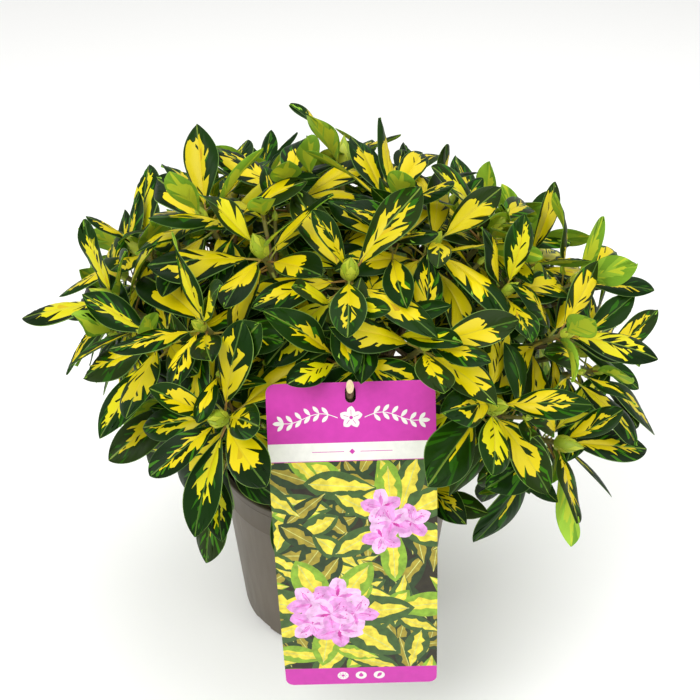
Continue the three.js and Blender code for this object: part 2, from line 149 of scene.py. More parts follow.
class CardSizes(bpy.types.PropertyGroup):
    thickness: length("Thickness", "Thickness of the card", 0.0005)
    header: length("Header", "Height of the coloured head of the card", 0.0455)
    strip: length("Strip", "Height of the pale strip below the head", 0.014)
    footer: length("Footer", "Height of the coloured foot of the card", 0.020)
    border: colour("Border", "Colour of the head and foot", 188, 52, 158)
    paper: colour("Paper", "Colour of the pale strip, the motifs and the back", 220, 219, 214)
    ground: colour("Ground", "Colour behind the leaves and blossoms", 40, 36, 22)
    blossom: colour("Blossom", "Colour of the printed petals", 206, 120, 190)


class StageSizes(bpy.types.PropertyGroup):
    lens: FloatProperty(name="Lens", description="Focal length of the camera", default=59.56, unit="CAMERA")
    back: length("Camera back", "How far the camera stands in front of the pot's axis", 0.9)
    aside: length("Camera aside", "How far the camera stands to the right of the pot's axis", 0.012)
    up: length("Camera height", "Height of the camera", 0.8076)
    tilt: angle("Camera tilt", "How far the camera looks down", 30.45)
    key: FloatProperty(name="Key light", description="Power of the main light", default=40, unit="POWER")
    fill: FloatProperty(name="Fill light", description="Power of the second light", default=16, unit="POWER")
    sky: share("Surround", "Strength of the light from all round", 0.78)
    floor: colour("Floor", "Colour of the floor", 250, 250, 248)


class ShrubSizes(bpy.types.PropertyGroup):
    pot: PointerProperty(type=PotSizes)
    soil: PointerProperty(type=SoilSizes)
    bark: PointerProperty(type=BarkSizes)
    leaf: PointerProperty(type=LeafSizes)
    card: PointerProperty(type=CardSizes)
    stage: PointerProperty(type=StageSizes)


# ---------------------------------------------------------------- how the plant grows

Trunk = namedtuple("Trunk", "height base_radius tip_radius flare flare_height lean sway")
TRUNK = Trunk(0.104, 0.009, 0.005, 0.005, 0.008, 0.006, 0.8)
TRUNK_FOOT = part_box("trunk")[0].z

Bough = namedtuple("Bough", "base_radius tip_radius lowest highest reach bend_out bend_up")
BOUGH = Bough(0.004, 0.0036, 0.009, 0.096, 0.5, 0.62, 0.3)

Twig = namedtuple("Twig", "fork_radius tip_radius fork bend")
TWIG = Twig(0.0031, 0.0023, 0.16, 0.45)
FORK_STEP = 0.0036

SHOOT_RISE = 12
SHOOT_SHARE = 0.8
DOME_MIDDLE = 0.265
DOME = Vector((0.240, 0.214, 0.178))

# The turn and rise on the dome of each shoot tip, over the front half of the crown, from the trunk's lowest
# bough to its highest. A third number is how far, in metres, a shoot stands back from the dome.
FRONT_BOUGHS = {
    "left_low": [(-62, 8, 0.085), (-98, 14, 0.080)],
    "front_left_low": [(-22, 21), (-41, 18, 0.060), (-27, 2, 0.035)],
    "left_mid": [(-50, 33, 0.020), (-72, 33, 0.008), (-92, 42, 0.014)],
    "front_low": [(18, -4, 0.062), (-13, -8, 0.055)],
    "front_right_low": [(32, 21), (51, 1, 0.006), (68, 13)],
    "front_right_mid": [(60, 28), (84, 31)],
    "front_high": [(5, 57), (2, 37, 0.020), (21, 38)],
    "front_right_high": [(42, 61), (51, 44), (76, 56)],
    "front_left_high": [(-29, 61), (-33, 40), (-72, 62)],
}
LEADER = [(56, 76), (-68, 79), (175, 73)]
OPPOSITE = {"front": "back", "left": "right", "right": "left"}
STRAY, TURN_SEED, RISE_SEED = 7, 71, 72
SET_BACK = 0.020  # how far the shoots opposite the front ones stand back from the dome

# How the leaves of a whorl stand, from the youngest at its heart to the oldest at its foot. Angles in degrees.
Whorl = namedtuple(
    "Whorl", "upright spread power first_droop last_droop face_up petiole first_down depth youngest"
)
WHORL = Whorl(34, 86, 0.8, 18, 52, 0.3, 0.15, 0.003, 0.026, 0.74)
OLD_AGE, OLD_STEP = 1.01, 0.009  # last year's leaves: their age, and how far apart they stand below the whorl
TWISTED, TWIST = 0.15, 5  # the share of leaves that twist, and how many times further they roll
CURLED, CURL_OVER = 0.14, 48  # the share of leaves that curl right over, and how much further they droop
MARGIN_WAVES, SIDES_APART = 1.4, 1.3  # waves along a margin, and how far those of the two sides are apart
BLADE_WAVES, BLADE_WAVE = 1.2, 0.7  # waves along the whole blade, and their height as a share of the margin's

# How far leaves stray: angles to either side, then shares from the least to the most.
Strays = namedtuple("Strays", "turn tilt roll grown droop fold curl wave breadth")
STRAYS = Strays(12, 9, 22, (0.84, 1.10), (0.6, 1.4), (0.3, 1.7), (0.1, 1.9), (0.1, 2.1), (0.84, 1.14))

# The finer twigs inside the crown: where they leave a twig, their reach, the way they set out as shares of
# along, across and up, their bend, the fewest and most leaves on each, and their size.
SIDE_TWIGS = (0.42, 0.66)
SIDE_REACH = (0.034, 0.052)
SIDE_WAY = (0.62, 0.8, 0.15)
SIDE_BEND, SIDE_LEAVES, SIDE_SIZE = 0.45, (4, 6), 0.84
INNER_KEYS = 1000  # keys of the finer shoots begin here
FAT_BUDS = 0.6  # the share of shoots at the dome with a flower bud

# What a leaf tries in turn to find room: another lift and swing, as angles, and a share of its length.
TRIES = [
    (0, 0, 1), (-13, 0, 1), (13, 0, 1), (0, 17, 1), (0, -17, 1), (-20, 10, 0.92), (16, -10, 0.92), (-24, -12, 0.9),
    (24, 14, 0.88), (-10, 26, 0.9), (8, -26, 0.9), (-32, 0, 0.85), (30, 0, 0.8), (-10, 0, 0.72), (12, 0, 0.66),
]

Mass = namedtuple("Mass", "name index shoots line")
Shoot = namedtuple("Shoot", "line key fewest most older size fat")
Leaf = namedtuple("Leaf", "foot out face length droop roll fold curl wave phase sickle breadth")


def chance(*keys):
    """The same number from 0 to 1 for the same keys. A plain number among them tells one draw from another."""
    h = 0x2545F491
    for key in keys:
        h = ((h ^ (key + 0x9E3779B9)) * 0x85EBCA6B) & 0xFFFFFFFF
        h ^= h >> 13
        h = (h * 0xC2B2AE35) & 0xFFFFFFFF
        h ^= h >> 16
    return h / 2**32


def turns_round(steps):
    """Evenly spaced angles all the way round."""
    return [math.tau * i / steps for i in range(steps)]


def lerp(low, high, share):
    return low + (high - low) * share


def between(low, high, *keys):
    return lerp(low, high, chance(*keys))


def heading(turn, rise):
    """Outwards along a turn and up by a rise, as a direction."""
    t, r = math.radians(turn), math.radians(rise)
    return Vector((math.sin(t) * math.cos(r), -math.cos(t) * math.cos(r), math.sin(r)))


def tip_of(shoot):
    """Where a shoot's tip is. It stands back from the dome along its own heading."""
    turn, rise, *back = shoot
    way = heading(turn, rise)
    return way * DOME + UP * DOME_MIDDLE - way * sum(back)


def middle_of(shoots):
    return sum((tip_of(shoot) for shoot in shoots), Vector()) / len(shoots)


def shoot_way(shoot):
    """The way a shoot points: outwards low on the crown, and nearly straight up at its top."""
    return heading(shoot[0], SHOOT_RISE + shoot[1] * SHOOT_SHARE)


def curved(start, bend, end, steps):
    """Evenly spaced points along a curve from start to end that is pulled towards bend."""
    t = np.linspace(0, 1, 60)[:, None]
    fine = (1 - t) ** 2 * np.array(start) + 2 * t * (1 - t) * np.array(bend) + t**2 * np.array(end)
    run = np.concatenate([[0], np.cumsum(np.linalg.norm(np.diff(fine, axis=0), axis=1))])
    marks = np.linspace(0, run[-1], steps + 1)
    return [Vector(np.interp(mark, run, fine[:, axis]) for axis in range(3)) for mark in marks]


def trunk_at(height):
    lean = TRUNK.lean * math.sin(height / TRUNK.height * math.pi * TRUNK.sway)
    return Vector((lean, lean / 2, TRUNK_FOOT + height))


def trunk_radius(height):
    flare = TRUNK.flare * math.exp(-height / TRUNK.flare_height)
    return lerp(TRUNK.base_radius, TRUNK.tip_radius, height / TRUNK.height) + flare


def list_masses():
    """Every mass with its bough's line: each front one, then its opposite, and the leader last."""
    named = []
    for i, (name, shoots) in enumerate(FRONT_BOUGHS.items()):
        named.append((name, shoots))
        opposite = "_".join(OPPOSITE.get(word, word) for word in name.split("_"))
        behind = [
            (
                turn + 180 + between(-STRAY, STRAY, TURN_SEED, i, j),
                rise + between(-STRAY, STRAY, RISE_SEED, i, j) / 2,
                SET_BACK,
            )
            for j, (turn, rise, *_) in enumerate(shoots)
        ]
        named.append((opposite, behind))
    masses = []
    for index, (name, shoots) in enumerate(named):
        foot = trunk_at(lerp(BOUGH.lowest, BOUGH.highest, index / (len(named) - 1)))
        tip = foot.lerp(middle_of(shoots), BOUGH.reach)
        bend = foot + Vector((tip.x - foot.x, tip.y - foot.y, 0)) * BOUGH.bend_out
        bend.z += (tip.z - foot.z) * BOUGH.bend_up
        masses.append(Mass(name, index, shoots, curved(foot, bend, tip, 24)))
    top = trunk_at(TRUNK.height)
    masses.append(Mass("leader", len(named), LEADER, [top - UP * 0.001, top]))
    return masses


def fork_of(mass):
    """Where a mass's stem leaves its bough, where it forks, and the way that the bough runs there."""
    way = (mass.line[-1] - mass.line[-2]).normalized()
    start = mass.line[-1]
    return start, start.lerp(middle_of(mass.shoots), TWIG.fork) + way * FORK_STEP, way


def twig_line(fork, shoot):
    """A twig bends from its mass's fork to its shoot, whose leafy end is straight."""
    tip, way = tip_of(shoot), shoot_way(shoot)
    collar = tip - way * WHORL.depth
    bend = collar - way * TWIG.bend * (collar - fork).length
    return curved(fork, bend, collar, 14) + [tip.lerp(collar, 1 - step / 5) for step in range(1, 6)]


def side_line(twig, share, key):
    """A finer twig that leaves a twig at a share of its way and turns up into the crown."""
    at = int(share * (len(twig) - 1))
    start, way = twig[at], (twig[at + 1] - twig[at]).normalized()
    across = way.cross(UP).normalized()
    across.rotate(Quaternion(way, math.tau * chance(key, 31)))
    reach = between(*SIDE_REACH, key, 32)
    along, aside, up = SIDE_WAY
    end = start + (way * along + across * aside + UP * up) * reach
    return curved(start, start + across * reach * SIDE_BEND, end, 8)


def shoots_of(mass):
    """A mass's shoots: those at the dome, and the finer ones inside it that its twigs carry."""
    sizes = bpy.context.scene.shrub.leaf
    fork = fork_of(mass)[1]
    shoots = []
    for s, shoot in enumerate(mass.shoots):
        key = mass.index * 10 + s
        line = twig_line(fork, shoot)
        fat = chance(key, 9) < FAT_BUDS
        shoots.append(Shoot(line, key, sizes.fewest, sizes.most, sizes.older, 1, fat))
    for main in list(shoots):
        for i, at in enumerate(SIDE_TWIGS):
            key = INNER_KEYS + main.key * 4 + i
            shoots.append(Shoot(side_line(main.line, at, key), key, *SIDE_LEAVES, 0, SIDE_SIZE, False))
    return shoots


def back_from_end(line, distance):
    """The place on a line this far back from its end, and the way that the line runs there."""
    i = len(line) - 1
    while i > 1 and distance > (line[i] - line[i - 1]).length:
        distance -= (line[i] - line[i - 1]).length
        i -= 1
    way = line[i] - line[i - 1]
    reach = way.length
    way.normalize()
    return line[i] - way * min(distance, reach), way


def leaf_sites(shoot):
    """The leaves of a shoot as (number, age, distance down from the tip): the whorl, then last year's."""
    leaves = round(between(shoot.fewest, shoot.most, shoot.key, 0))
    depth = WHORL.depth * shoot.size
    sites = [(i, i / (leaves - 1), lerp(WHORL.first_down, depth, i / (leaves - 1))) for i in range(leaves)]
    return sites + [(leaves + i, OLD_AGE, depth + OLD_STEP + OLD_STEP * i) for i in range(shoot.older)]


def leaf_place(shoot, site, change):
    """One leaf: its foot on the twig, the way it sets out and faces, its length, droop, roll, fold and waves."""
    i, age, down = site
    lift, swing, size = change
    key = shoot.key
    foot, way = back_from_end(shoot.line, down)
    turn = i * GOLDEN_ANGLE + 360 * chance(key, 1) + between(-STRAYS.turn, STRAYS.turn, key, 2, i) + swing
    spread = lerp(WHORL.upright, WHORL.spread, age**WHORL.power)
    tilt = math.radians(spread + between(-STRAYS.tilt, STRAYS.tilt, key, 3, i) + lift)
    radial = way.cross(UP).normalized()
    radial.rotate(Quaternion(way, math.radians(turn)))
    out = way * math.cos(tilt) + radial * math.sin(tilt)
    face = way.lerp(UP, WHORL.face_up)
    face = (face - out * face.dot(out)).normalized()
    sizes = bpy.context.scene.shrub.leaf
    grown = lerp(WHORL.youngest, 1, math.sqrt(age)) * between(*STRAYS.grown, key, 4, i)
    droop = lerp(WHORL.first_droop, WHORL.last_droop, age) * between(*STRAYS.droop, key, 5, i)
    roll = between(-STRAYS.roll, STRAYS.roll, key, 6, i)
    if chance(key, 11, i) < TWISTED:
        roll *= TWIST
    elif chance(key, 16, i) < CURLED:
        droop += CURL_OVER
    return Leaf(
        np.array(foot),
        np.array(out),
        np.array(face),
        sizes.length * grown * size * shoot.size,
        math.radians(droop),
        math.radians(roll),
        sizes.fold * between(*STRAYS.fold, key, 12, i),
        sizes.curl * between(*STRAYS.curl, key, 18, i),
        sizes.wave * lerp(*STRAYS.wave, chance(key, 13, i) ** 2),
        math.tau * chance(key, 14, i),
        sizes.sickle * between(-1, 1, key, 19, i),
        between(*STRAYS.breadth, key, 8, i),
    )


def on_leaf(leaf, s, x, z, t):
    """Points of a leaf, bent along its arc: s along it, x across and z out of its face as shares of its length,
    and t across as a share of its half width there."""
    bend = leaf.droop * s
    reach = leaf.length / leaf.droop
    cos, sin = np.cos(bend)[:, None], np.sin(bend)[:, None]
    middle = leaf.foot + leaf.out * (reach * sin) + leaf.face * (reach * (cos - 1))
    ahead = leaf.out * cos - leaf.face * sin
    normal = leaf.face * cos + leaf.out * sin
    side = np.cross(ahead, normal)
    roll = leaf.roll * s
    cos, sin = np.cos(roll)[:, None], np.sin(roll)[:, None]
    side, normal = side * cos - normal * sin, normal * cos + side * sin
    x = x * leaf.breadth
    rise = np.abs(x) * (leaf.fold - leaf.curl * t**2)
    rise = rise + leaf.wave * np.sin(s * math.tau * MARGIN_WAVES + leaf.phase + SIDES_APART * np.sign(t)) * t**2
    rise = rise + leaf.wave * BLADE_WAVE * np.sin(s * math.tau * BLADE_WAVES + leaf.phase * 2) * s
    aside = x + leaf.sickle * s**2
    return middle + side * (aside * leaf.length)[:, None] + normal * ((z + rise) * leaf.length)[:, None]


# ---------------------------------------------------------------- making and finishing pieces


def choose(*pieces):
    """Object mode, with just these pieces selected and the last of them active."""
    if bpy.context.object and bpy.context.object.mode != "OBJECT":
        bpy.ops.object.mode_set(mode="OBJECT")
    bpy.ops.object.select_all(action="DESELECT")
    for piece in pieces:
        piece.select_set(True)
        bpy.context.view_layer.objects.active = piece


def named(name):
    """The new primitive, under its name and with its place in its mesh."""
    piece = bpy.context.object
    piece.name = piece.data.name = name
    bpy.ops.object.transform_apply(location=True, rotation=True, scale=True)
    return piece


def edit(piece):
    """Edit mode, with the whole of this piece selected."""
    choose(piece)
    bpy.ops.object.mode_set(mode="EDIT")
    bpy.ops.mesh.select_all(action="SELECT")


def apply_modifier(piece, kind, **settings):
    choose(piece)
    bpy.ops.object.modifier_add(type=kind)
    modifier = piece.modifiers[-1]
    for setting, value in settings.items():
        setattr(modifier, setting, value)
    bpy.ops.object.modifier_apply(modifier=modifier.name)


def piece_from(name, points, faces, finishes, dealt=None):
    """A piece from points and faces. dealt gives each face's place in the list of finishes."""
    mesh = bpy.data.meshes.new(name)
    mesh.from_pydata(points, [], faces)
    for finish in finishes:
        mesh.materials.append(finish)
    if dealt is not None:
        mesh.polygons.foreach_set("material_index", np.asarray(dealt, np.int32))
    mesh.update()
    piece = bpy.data.objects.new(name, mesh)
    bpy.context.scene.collection.objects.link(piece)
    return piece


def settle(piece, degrees, slot, *nodes):
    """Smooths edges below an angle. The piece stands for these CAD nodes. slot is not used."""
    choose(piece)
    bpy.ops.object.shade_smooth_by_angle(angle=math.radians(degrees))
    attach(piece, "root")
    if nodes:
        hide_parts(*nodes)


def moved(points, matrix):
    """Rows of points, moved by a matrix."""
    matrix = np.array(matrix)
    return points @ matrix[:3, :3].T + matrix[:3, 3]


def grid(rows, columns):
    """The four-sided faces over points that lie in a grid, row after row."""
    corners = [i * columns + j for i in range(rows - 1) for j in range(columns - 1)]
    return [(c, c + 1, c + columns + 1, c + columns) for c in corners]


class Heap:
    """Points and faces of many small shapes that are joined into one piece."""

    def __init__(self):
        self.points, self.faces, self.dealt, self.total = [], [], [], 0

    def add(self, points, faces, dealt=0):
        """Joins a shape on. dealt is its place in the list of finishes, or one such place for each face."""
        start = self.total
        self.points.append(np.asarray(points, float).reshape(-1, 3))
        self.faces += [tuple(start + corner for corner in face) for face in faces]
        self.dealt += [dealt] * len(faces) if isinstance(dealt, int) else list(dealt)
        self.total += len(self.points[-1])

    def triangles(self):
        return sum(len(face) - 2 for face in self.faces)

    def all_points(self):
        return np.concatenate(self.points)

    def piece(self, name, finishes):
        return piece_from(name, self.all_points().tolist(), self.faces, finishes, self.dealt)


def skin(rings):
    """Points and faces of a closed skin over rings of points, each ring running the same way round."""
    sides = len(rings[0])
    faces = []
    for i in range(len(rings) - 1):
        for j in range(sides):
            a, b = i * sides + j, i * sides + (j + 1) % sides
            faces.append((a, b, b + sides, a + sides))
    last = (len(rings) - 1) * sides
    faces.append(tuple(reversed(range(sides))))
    faces.append(tuple(last + j for j in range(sides)))
    return [point for ring in rings for point in ring], faces


def limb(line, radius_at, sides):
    """A limb's skin along a line of points: radius_at gives its radius from the share of the way and the angle."""
    across = Vector((0.31, 0.95, 0.11))
    rings = []
    for i, point in enumerate(line):
        ahead = (line[min(i + 1, len(line) - 1)] - line[max(i - 1, 0)]).normalized()
        across = (across - ahead * across.dot(ahead)).normalized()
        along = ahead.cross(across)
        share = i / (len(line) - 1)
        ring = []
        for turn in turns_round(sides):
            radius = radius_at(share, turn)
            ring.append(point + across * radius * math.cos(turn) + along * radius * math.sin(turn))
        rings.append(ring)
    return skin(rings)


# ---------------------------------------------------------------- finishes


def finish_of(name, base, roughness, **sockets):
    """A finish with one base colour. Other sockets of its shader are given by name, with _ for a space."""
    material = bpy.data.materials.new(name)
    material.use_nodes = True
    shader = material.node_tree.nodes["Principled BSDF"]
    shader.inputs["Base Color"].default_value = (*base, 1)
    shader.inputs["Roughness"].default_value = roughness
    for socket, value in sockets.items():
        shader.inputs[socket.replace("_", " ")].default_value = value
    material.diffuse_color = (*base, 1)
    return material


def tones_of(name, tones, roughness, **sockets):
    """A finish for each tone, which are given in screen values."""
    return [finish_of(f"{name}_{i}", screen(*tone), roughness, **sockets) for i, tone in enumerate(tones)]


def wear(piece, finish):
    """Gives a piece this finish alone."""
    piece.data.materials.clear()
    piece.data.materials.append(finish)


def node(material, kind, **inputs):
    """A new node, with values for its inputs or the sockets that feed them."""
    made = material.node_tree.nodes.new(kind)
    for name, value in inputs.items():
        socket = made.inputs[name.replace("_", " ")]
        if isinstance(value, bpy.types.NodeSocket):
            material.node_tree.links.new(value, socket)
        else:
            socket.default_value = value
    return made


def object_place(material, stretch=(1, 1, 1)):
    """Object coordinates, stretched along the axes."""
    place = node(material, "ShaderNodeTexCoord").outputs["Object"]
    return node(material, "ShaderNodeMapping", Vector=place, Scale=stretch).outputs["Vector"]


def speckle(material, place, size, detail=4.0, uneven=0.55):
    """Noise whose patches are about this size in metres."""
    return node(
        material, "ShaderNodeTexNoise", Vector=place, Scale=1 / size, Detail=detail, Roughness=uneven
    ).outputs["Fac"]


def blended(material, factor, *stops):
    """Colours from (place, colour) stops, picked by a factor."""
    ramp = node(material, "ShaderNodeValToRGB", Fac=factor)
    elements = ramp.color_ramp.elements
    while len(elements) < len(stops):
        elements.new(0.5)
    for element, (place, value) in zip(elements, stops):
        element.position = place
        element.color = (*value, 1)
    return ramp.outputs["Color"]


def spread(material, factor, low, high):
    """A factor from 0 to 1, spread from low to high."""
    return node(material, "ShaderNodeMapRange", Value=factor, To_Min=low, To_Max=high).outputs["Result"]


def feed(material, socket, value):
    shader = material.node_tree.nodes["Principled BSDF"]
    material.node_tree.links.new(value, shader.inputs[socket])


def bumped(material, height, depth, strength=1.0):
    """Relief from a height of 0 to 1 that is this deep in metres."""
    bump = node(material, "ShaderNodeBump", Height=height, Distance=depth, Strength=strength)
    feed(material, "Normal", bump.outputs["Normal"])


def scaled(value, factor):
    return tuple(min(1, channel * factor) for channel in value)


def moulded_plastic(sizes):
    """Satin recycled plastic: faint flow marks, dust and a fine grain."""
    material = finish_of("moulded_plastic", sizes.plastic, 0.45, Specular_IOR_Level=0.45)
    place = object_place(material)
    clouds = speckle(material, place, 0.05)
    tones = ((0.3, scaled(sizes.plastic, 0.88)), (0.55, sizes.plastic), (0.8, scaled(sizes.plastic, 1.12)))
    feed(material, "Base Color", blended(material, clouds, *tones))
    streaks = speckle(material, object_place(material, (1, 1, 0.12)), 0.006)
    feed(material, "Roughness", spread(material, streaks, 0.36, 0.58))
    bumped(material, speckle(material, place, 0.0009, detail=2.0), 0.00006)
    return material


def compost(sizes):
    material = finish_of("compost", sizes.compost, 0.95, Specular_IOR_Level=0.2)
    place = object_place(material)
    grains = speckle(material, place, 0.003, detail=6.0, uneven=0.7)
    tones = ((0.3, scaled(sizes.compost, 0.35)), (0.5, sizes.compost), (0.68, scaled(sizes.compost, 2.4)))
    feed(material, "Base Color", blended(material, grains, *tones))
    bumped(material, grains, 0.0015)
    return material


def bark(sizes):
    material = finish_of("bark", sizes.light, 0.85, Specular_IOR_Level=0.25)
    furrows = speckle(material, object_place(material, (1, 1, 0.3)), sizes.furrow, detail=5.0, uneven=0.65)
    feed(material, "Base Color", blended(material, furrows, (0.36, sizes.dark), (0.62, sizes.light)))
    feed(material, "Roughness", spread(material, furrows, 0.95, 0.75))
    bumped(material, furrows, 0.0007)
    return material


def cut_wood(sizes):
    """Pale wood with growth rings round its pith."""
    material = finish_of("cut_wood", sizes.cut_wood, 0.7, Specular_IOR_Level=0.3)
    fibre = speckle(material, object_place(material, (1, 1, 0.2)), 0.0008)
    tones = ((0.35, scaled(sizes.cut_wood, 0.78)), (0.6, sizes.cut_wood))
    feed(material, "Base Color", blended(material, fibre, *tones))
    bumped(material, fibre, 0.0001)
    return material


# ---------------------------------------------------------------- pot and soil


FOOT_ANGLES = (0, 22, 45, 67, 90)  # where the rounded foot has its rings
RIDGE = ((0, -0.0002), (0.0006, 0), (0, 0.0013))  # the parting line, as (out from the wall, up)
BEAD = ((0, -0.0009), (0.0008, 0), (0.0003, 0.0010))  # the bead below the lip, likewise
BEAD_DOWN = 0.0035  # how far the bead lies below the lip
NOTCH_TURN, NOTCH = -51, (0.022, 0.018, 0.013)  # the turn of the first notch, and the box that cuts it
POT_BEVEL = 0.0003  # width of the bevel on its sharp edges

SOIL_RINGS, SOIL_SIDES, SOIL_GAP = 26, 120, 0.0004  # rings on its top, steps round it, and its gap to the wall
SOIL_CROWN = 0.003  # how much lower the soil lies at the rim
LUMPS = ((70, 0, 0.6), (190, 0.3, 0.4))  # the lumps' noise, as (how fine, level, share)
CHIP_BROWNS = [(92, 58, 34), (132, 78, 40), (60, 42, 30), (112, 84, 58), (158, 98, 52), (40, 30, 24)]
CHIP_LONG, CHIP_WIDE, CHIP_THICK = (0.5, 1.5), (0.25, 0.6), 0.16  # as shares of a chip's length
CHIP_TILT, CHIP_UP = 0.5, 0.0008  # how far a chip leans, and how far its middle lies above the soil
CHIP_CLEAR = 0.02  # how far chips lie from the middle of the soil, where the trunk stands


def turned(name, profile, facets):
    """A solid of revolution, drawn out ring by ring from the disc that starts its profile."""
    radius, height = profile[0]
    choose()
    bpy.ops.mesh.primitive_circle_add(vertices=facets, radius=radius, fill_type="NGON", location=(0, 0, height))
    piece = named(name)
    edit(piece)
    for next_radius, next_height in profile[1:]:
        bpy.ops.mesh.extrude_region_move(TRANSFORM_OT_translate={"value": (0, 0, next_height - height)})
        size = next_radius / radius
        bpy.ops.transform.resize(value=(size, size, 1), center_override=(0, 0, next_height))
        radius, height = next_radius, next_height
    bpy.ops.mesh.select_all(action="SELECT")
    bpy.ops.mesh.normals_make_consistent(inside=False)
    bpy.ops.object.mode_set(mode="OBJECT")
    return piece


def pot_profile(pot):
    """Up the outside of the pot, over its lip and down the inside, as (radius, height)."""
    wall_top = pot.rim_radius - pot.lip_width
    lip_bottom = pot.height - pot.lip_height

    def wall_at(height):
        return lerp(pot.base_radius, wall_top, (height - pot.rounding) / (lip_bottom - pot.rounding))

    bends = [math.radians(bend) for bend in FOOT_ANGLES]
    foot = [
        (pot.base_radius - pot.rounding * (1 - math.sin(bend)), pot.rounding * (1 - math.cos(bend)))
        for bend in bends
    ]
    bands = [
        (wall_at(level) + out, level + up)
        for level, band in ((pot.height - pot.parting_line, RIDGE), (lip_bottom - BEAD_DOWN, BEAD))
        for out, up in band
    ]
    lip = [
        (wall_top + 0.0004, lip_bottom - 0.0004),
        (pot.rim_radius - 0.0006, lip_bottom),
        (pot.rim_radius, lip_bottom + 0.0008),
        (pot.rim_radius, pot.height - 0.0012),
        (pot.rim_radius - 0.0009, pot.height),
        (wall_top - pot.wall + 0.0006, pot.height),
        (wall_top - pot.wall, pot.height - 0.0008),
    ]
    inner = pot.base_radius - pot.wall
    inside = [(inner - 0.002, pot.floor + 0.002), (inner - 0.005, pot.floor)]
    return foot + bands + lip + inside


class SHRUB_OT_make_pot(bpy.types.Operator):
    """Model the nursery pot with its lip, parting line and drainage notches"""

    bl_idname = "shrub.make_pot"
    bl_label = "Make Pot"

    def execute(self, context):
        pot = context.scene.shrub.pot
        piece = turned("nursery_pot", pot_profile(pot), pot.facets)
        cutters = []
        for i in range(pot.notches):
            turn = math.radians(NOTCH_TURN + 360 * i / pot.notches)
            reach = pot.base_radius
            choose()
            bpy.ops.mesh.primitive_cube_add(
                size=1,
                location=(reach * math.sin(turn), -reach * math.cos(turn), 0),
                rotation=(0, 0, turn),
                scale=NOTCH,
            )
            cutters.append(named("notch"))
        choose(*cutters)
        bpy.ops.object.join()
        cutter = bpy.context.object
        apply_modifier(piece, "BOOLEAN", object=cutter, operation="DIFFERENCE", solver="EXACT")
        bpy.data.objects.remove(cutter)
        sharp = math.radians(50)
        apply_modifier(piece, "BEVEL", width=POT_BEVEL, segments=2, limit_method="ANGLE", angle_limit=sharp)
        wear(piece, moulded_plastic(pot))
        settle(piece, 32, "pot", "pot")
        return {"FINISHED"}


def soil_height(pot, soil, x, y):
    """How high the soil lies: a low crown with lumps, always inside the root ball's own space at its edge."""
    radius = math.hypot(x, y)
    top = pot.height - soil.below_rim
    crown = -SOIL_CROWN * (radius / pot.rim_radius) ** 3
    lumps = sum(noise.noise(Vector((x, y, level)) * fine) * share for fine, level, share in LUMPS)
    return top + crown + soil.relief * (lumps - 0.5)


class SHRUB_OT_make_soil(bpy.types.Operator):
    """Model the root ball, with lumpy soil on top and bark chips that lie on it"""

    bl_idname = "shrub.make_soil"
    bl_label = "Make Soil"

    def execute(self, context):
        pot, soil = context.scene.shrub.pot, context.scene.shrub.soil
        low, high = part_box("root_ball")
        edge = high.x - SOIL_GAP
        choose()
        depth = high.z - low.z
        bottom = pot.base_radius - pot.wall - 0.003
        bpy.ops.mesh.primitive_cone_add(
            vertices=SOIL_SIDES, radius1=bottom, radius2=edge, depth=depth, location=(0, 0, low.z + depth / 2)
        )
        piece = named("soil")
        bpy.ops.object.mode_set(mode="EDIT")
        bpy.ops.mesh.select_mode(type="FACE")
        bpy.ops.mesh.select_all(action="DESELECT")
        mesh = bmesh.from_edit_mesh(piece.data)
        for face in mesh.faces:
            face.select_set(face.normal.z > 0.9)
        bmesh.update_edit_mesh(piece.data)
        for _ in range(SOIL_RINGS):
            bpy.ops.mesh.inset(thickness=edge / (SOIL_RINGS + 1))
        bpy.ops.mesh.merge(type="CENTER")
        bpy.ops.object.mode_set(mode="OBJECT")
        for vertex in piece.data.vertices:
            if vertex.co.z > high.z - 0.002:
                vertex.co.z = soil_height(pot, soil, vertex.co.x, vertex.co.y)
        wear(piece, compost(soil))
        settle(piece, 60, "soil", "root_ball")
        self.scatter_chips(pot, soil, edge)
        return {"FINISHED"}

    def scatter_chips(self, pot, soil, edge):
        """One flat splinter of bark, modelled once, and copied all over the soil."""
        choose()
        bpy.ops.mesh.primitive_cube_add(size=1)
        chip = named("chip")
        edit(chip)
        bpy.ops.mesh.subdivide(number_cuts=1)
        bpy.ops.transform.vertex_random(offset=0.12, seed=5)
        bpy.ops.object.mode_set(mode="OBJECT")
        corners = np.array([vertex.co for vertex in chip.data.vertices])
        faces = [tuple(face.vertices) for face in chip.data.polygons]
        bpy.data.objects.remove(chip)
        finishes = tones_of("chip", CHIP_BROWNS, 0.8)
        heap = Heap()
        for i in range(soil.chips):
            away = edge * 0.97 * math.sqrt(chance(501, i))
            turn = math.tau * chance(502, i)
            x, y = away * math.cos(turn), away * math.sin(turn)
            long = soil.chip_length * between(*CHIP_LONG, 503, i)
            size = Matrix.Diagonal((long, long * between(*CHIP_WIDE, 504, i), long * CHIP_THICK, 1))
            lie = Quaternion((math.cos(turn), math.sin(turn), 0), between(-CHIP_TILT, CHIP_TILT, 505, i))
            spin = Quaternion((0, 0, 1), math.tau * chance(506, i))
            place = Matrix.Translation((x, y, soil_height(pot, soil, x, y) + CHIP_UP))
            points = moved(corners, place @ (lie @ spin).to_matrix().to_4x4() @ size)
            if np.hypot(points[:, 0], points[:, 1]).max() < edge and np.hypot(x, y) > CHIP_CLEAR:
                heap.add(points, faces, i % len(finishes))
        chips = heap.piece("bark_chips", finishes)
        settle(chips, 35, "soil")


# ---------------------------------------------------------------- trunk, boughs and the pruned stub


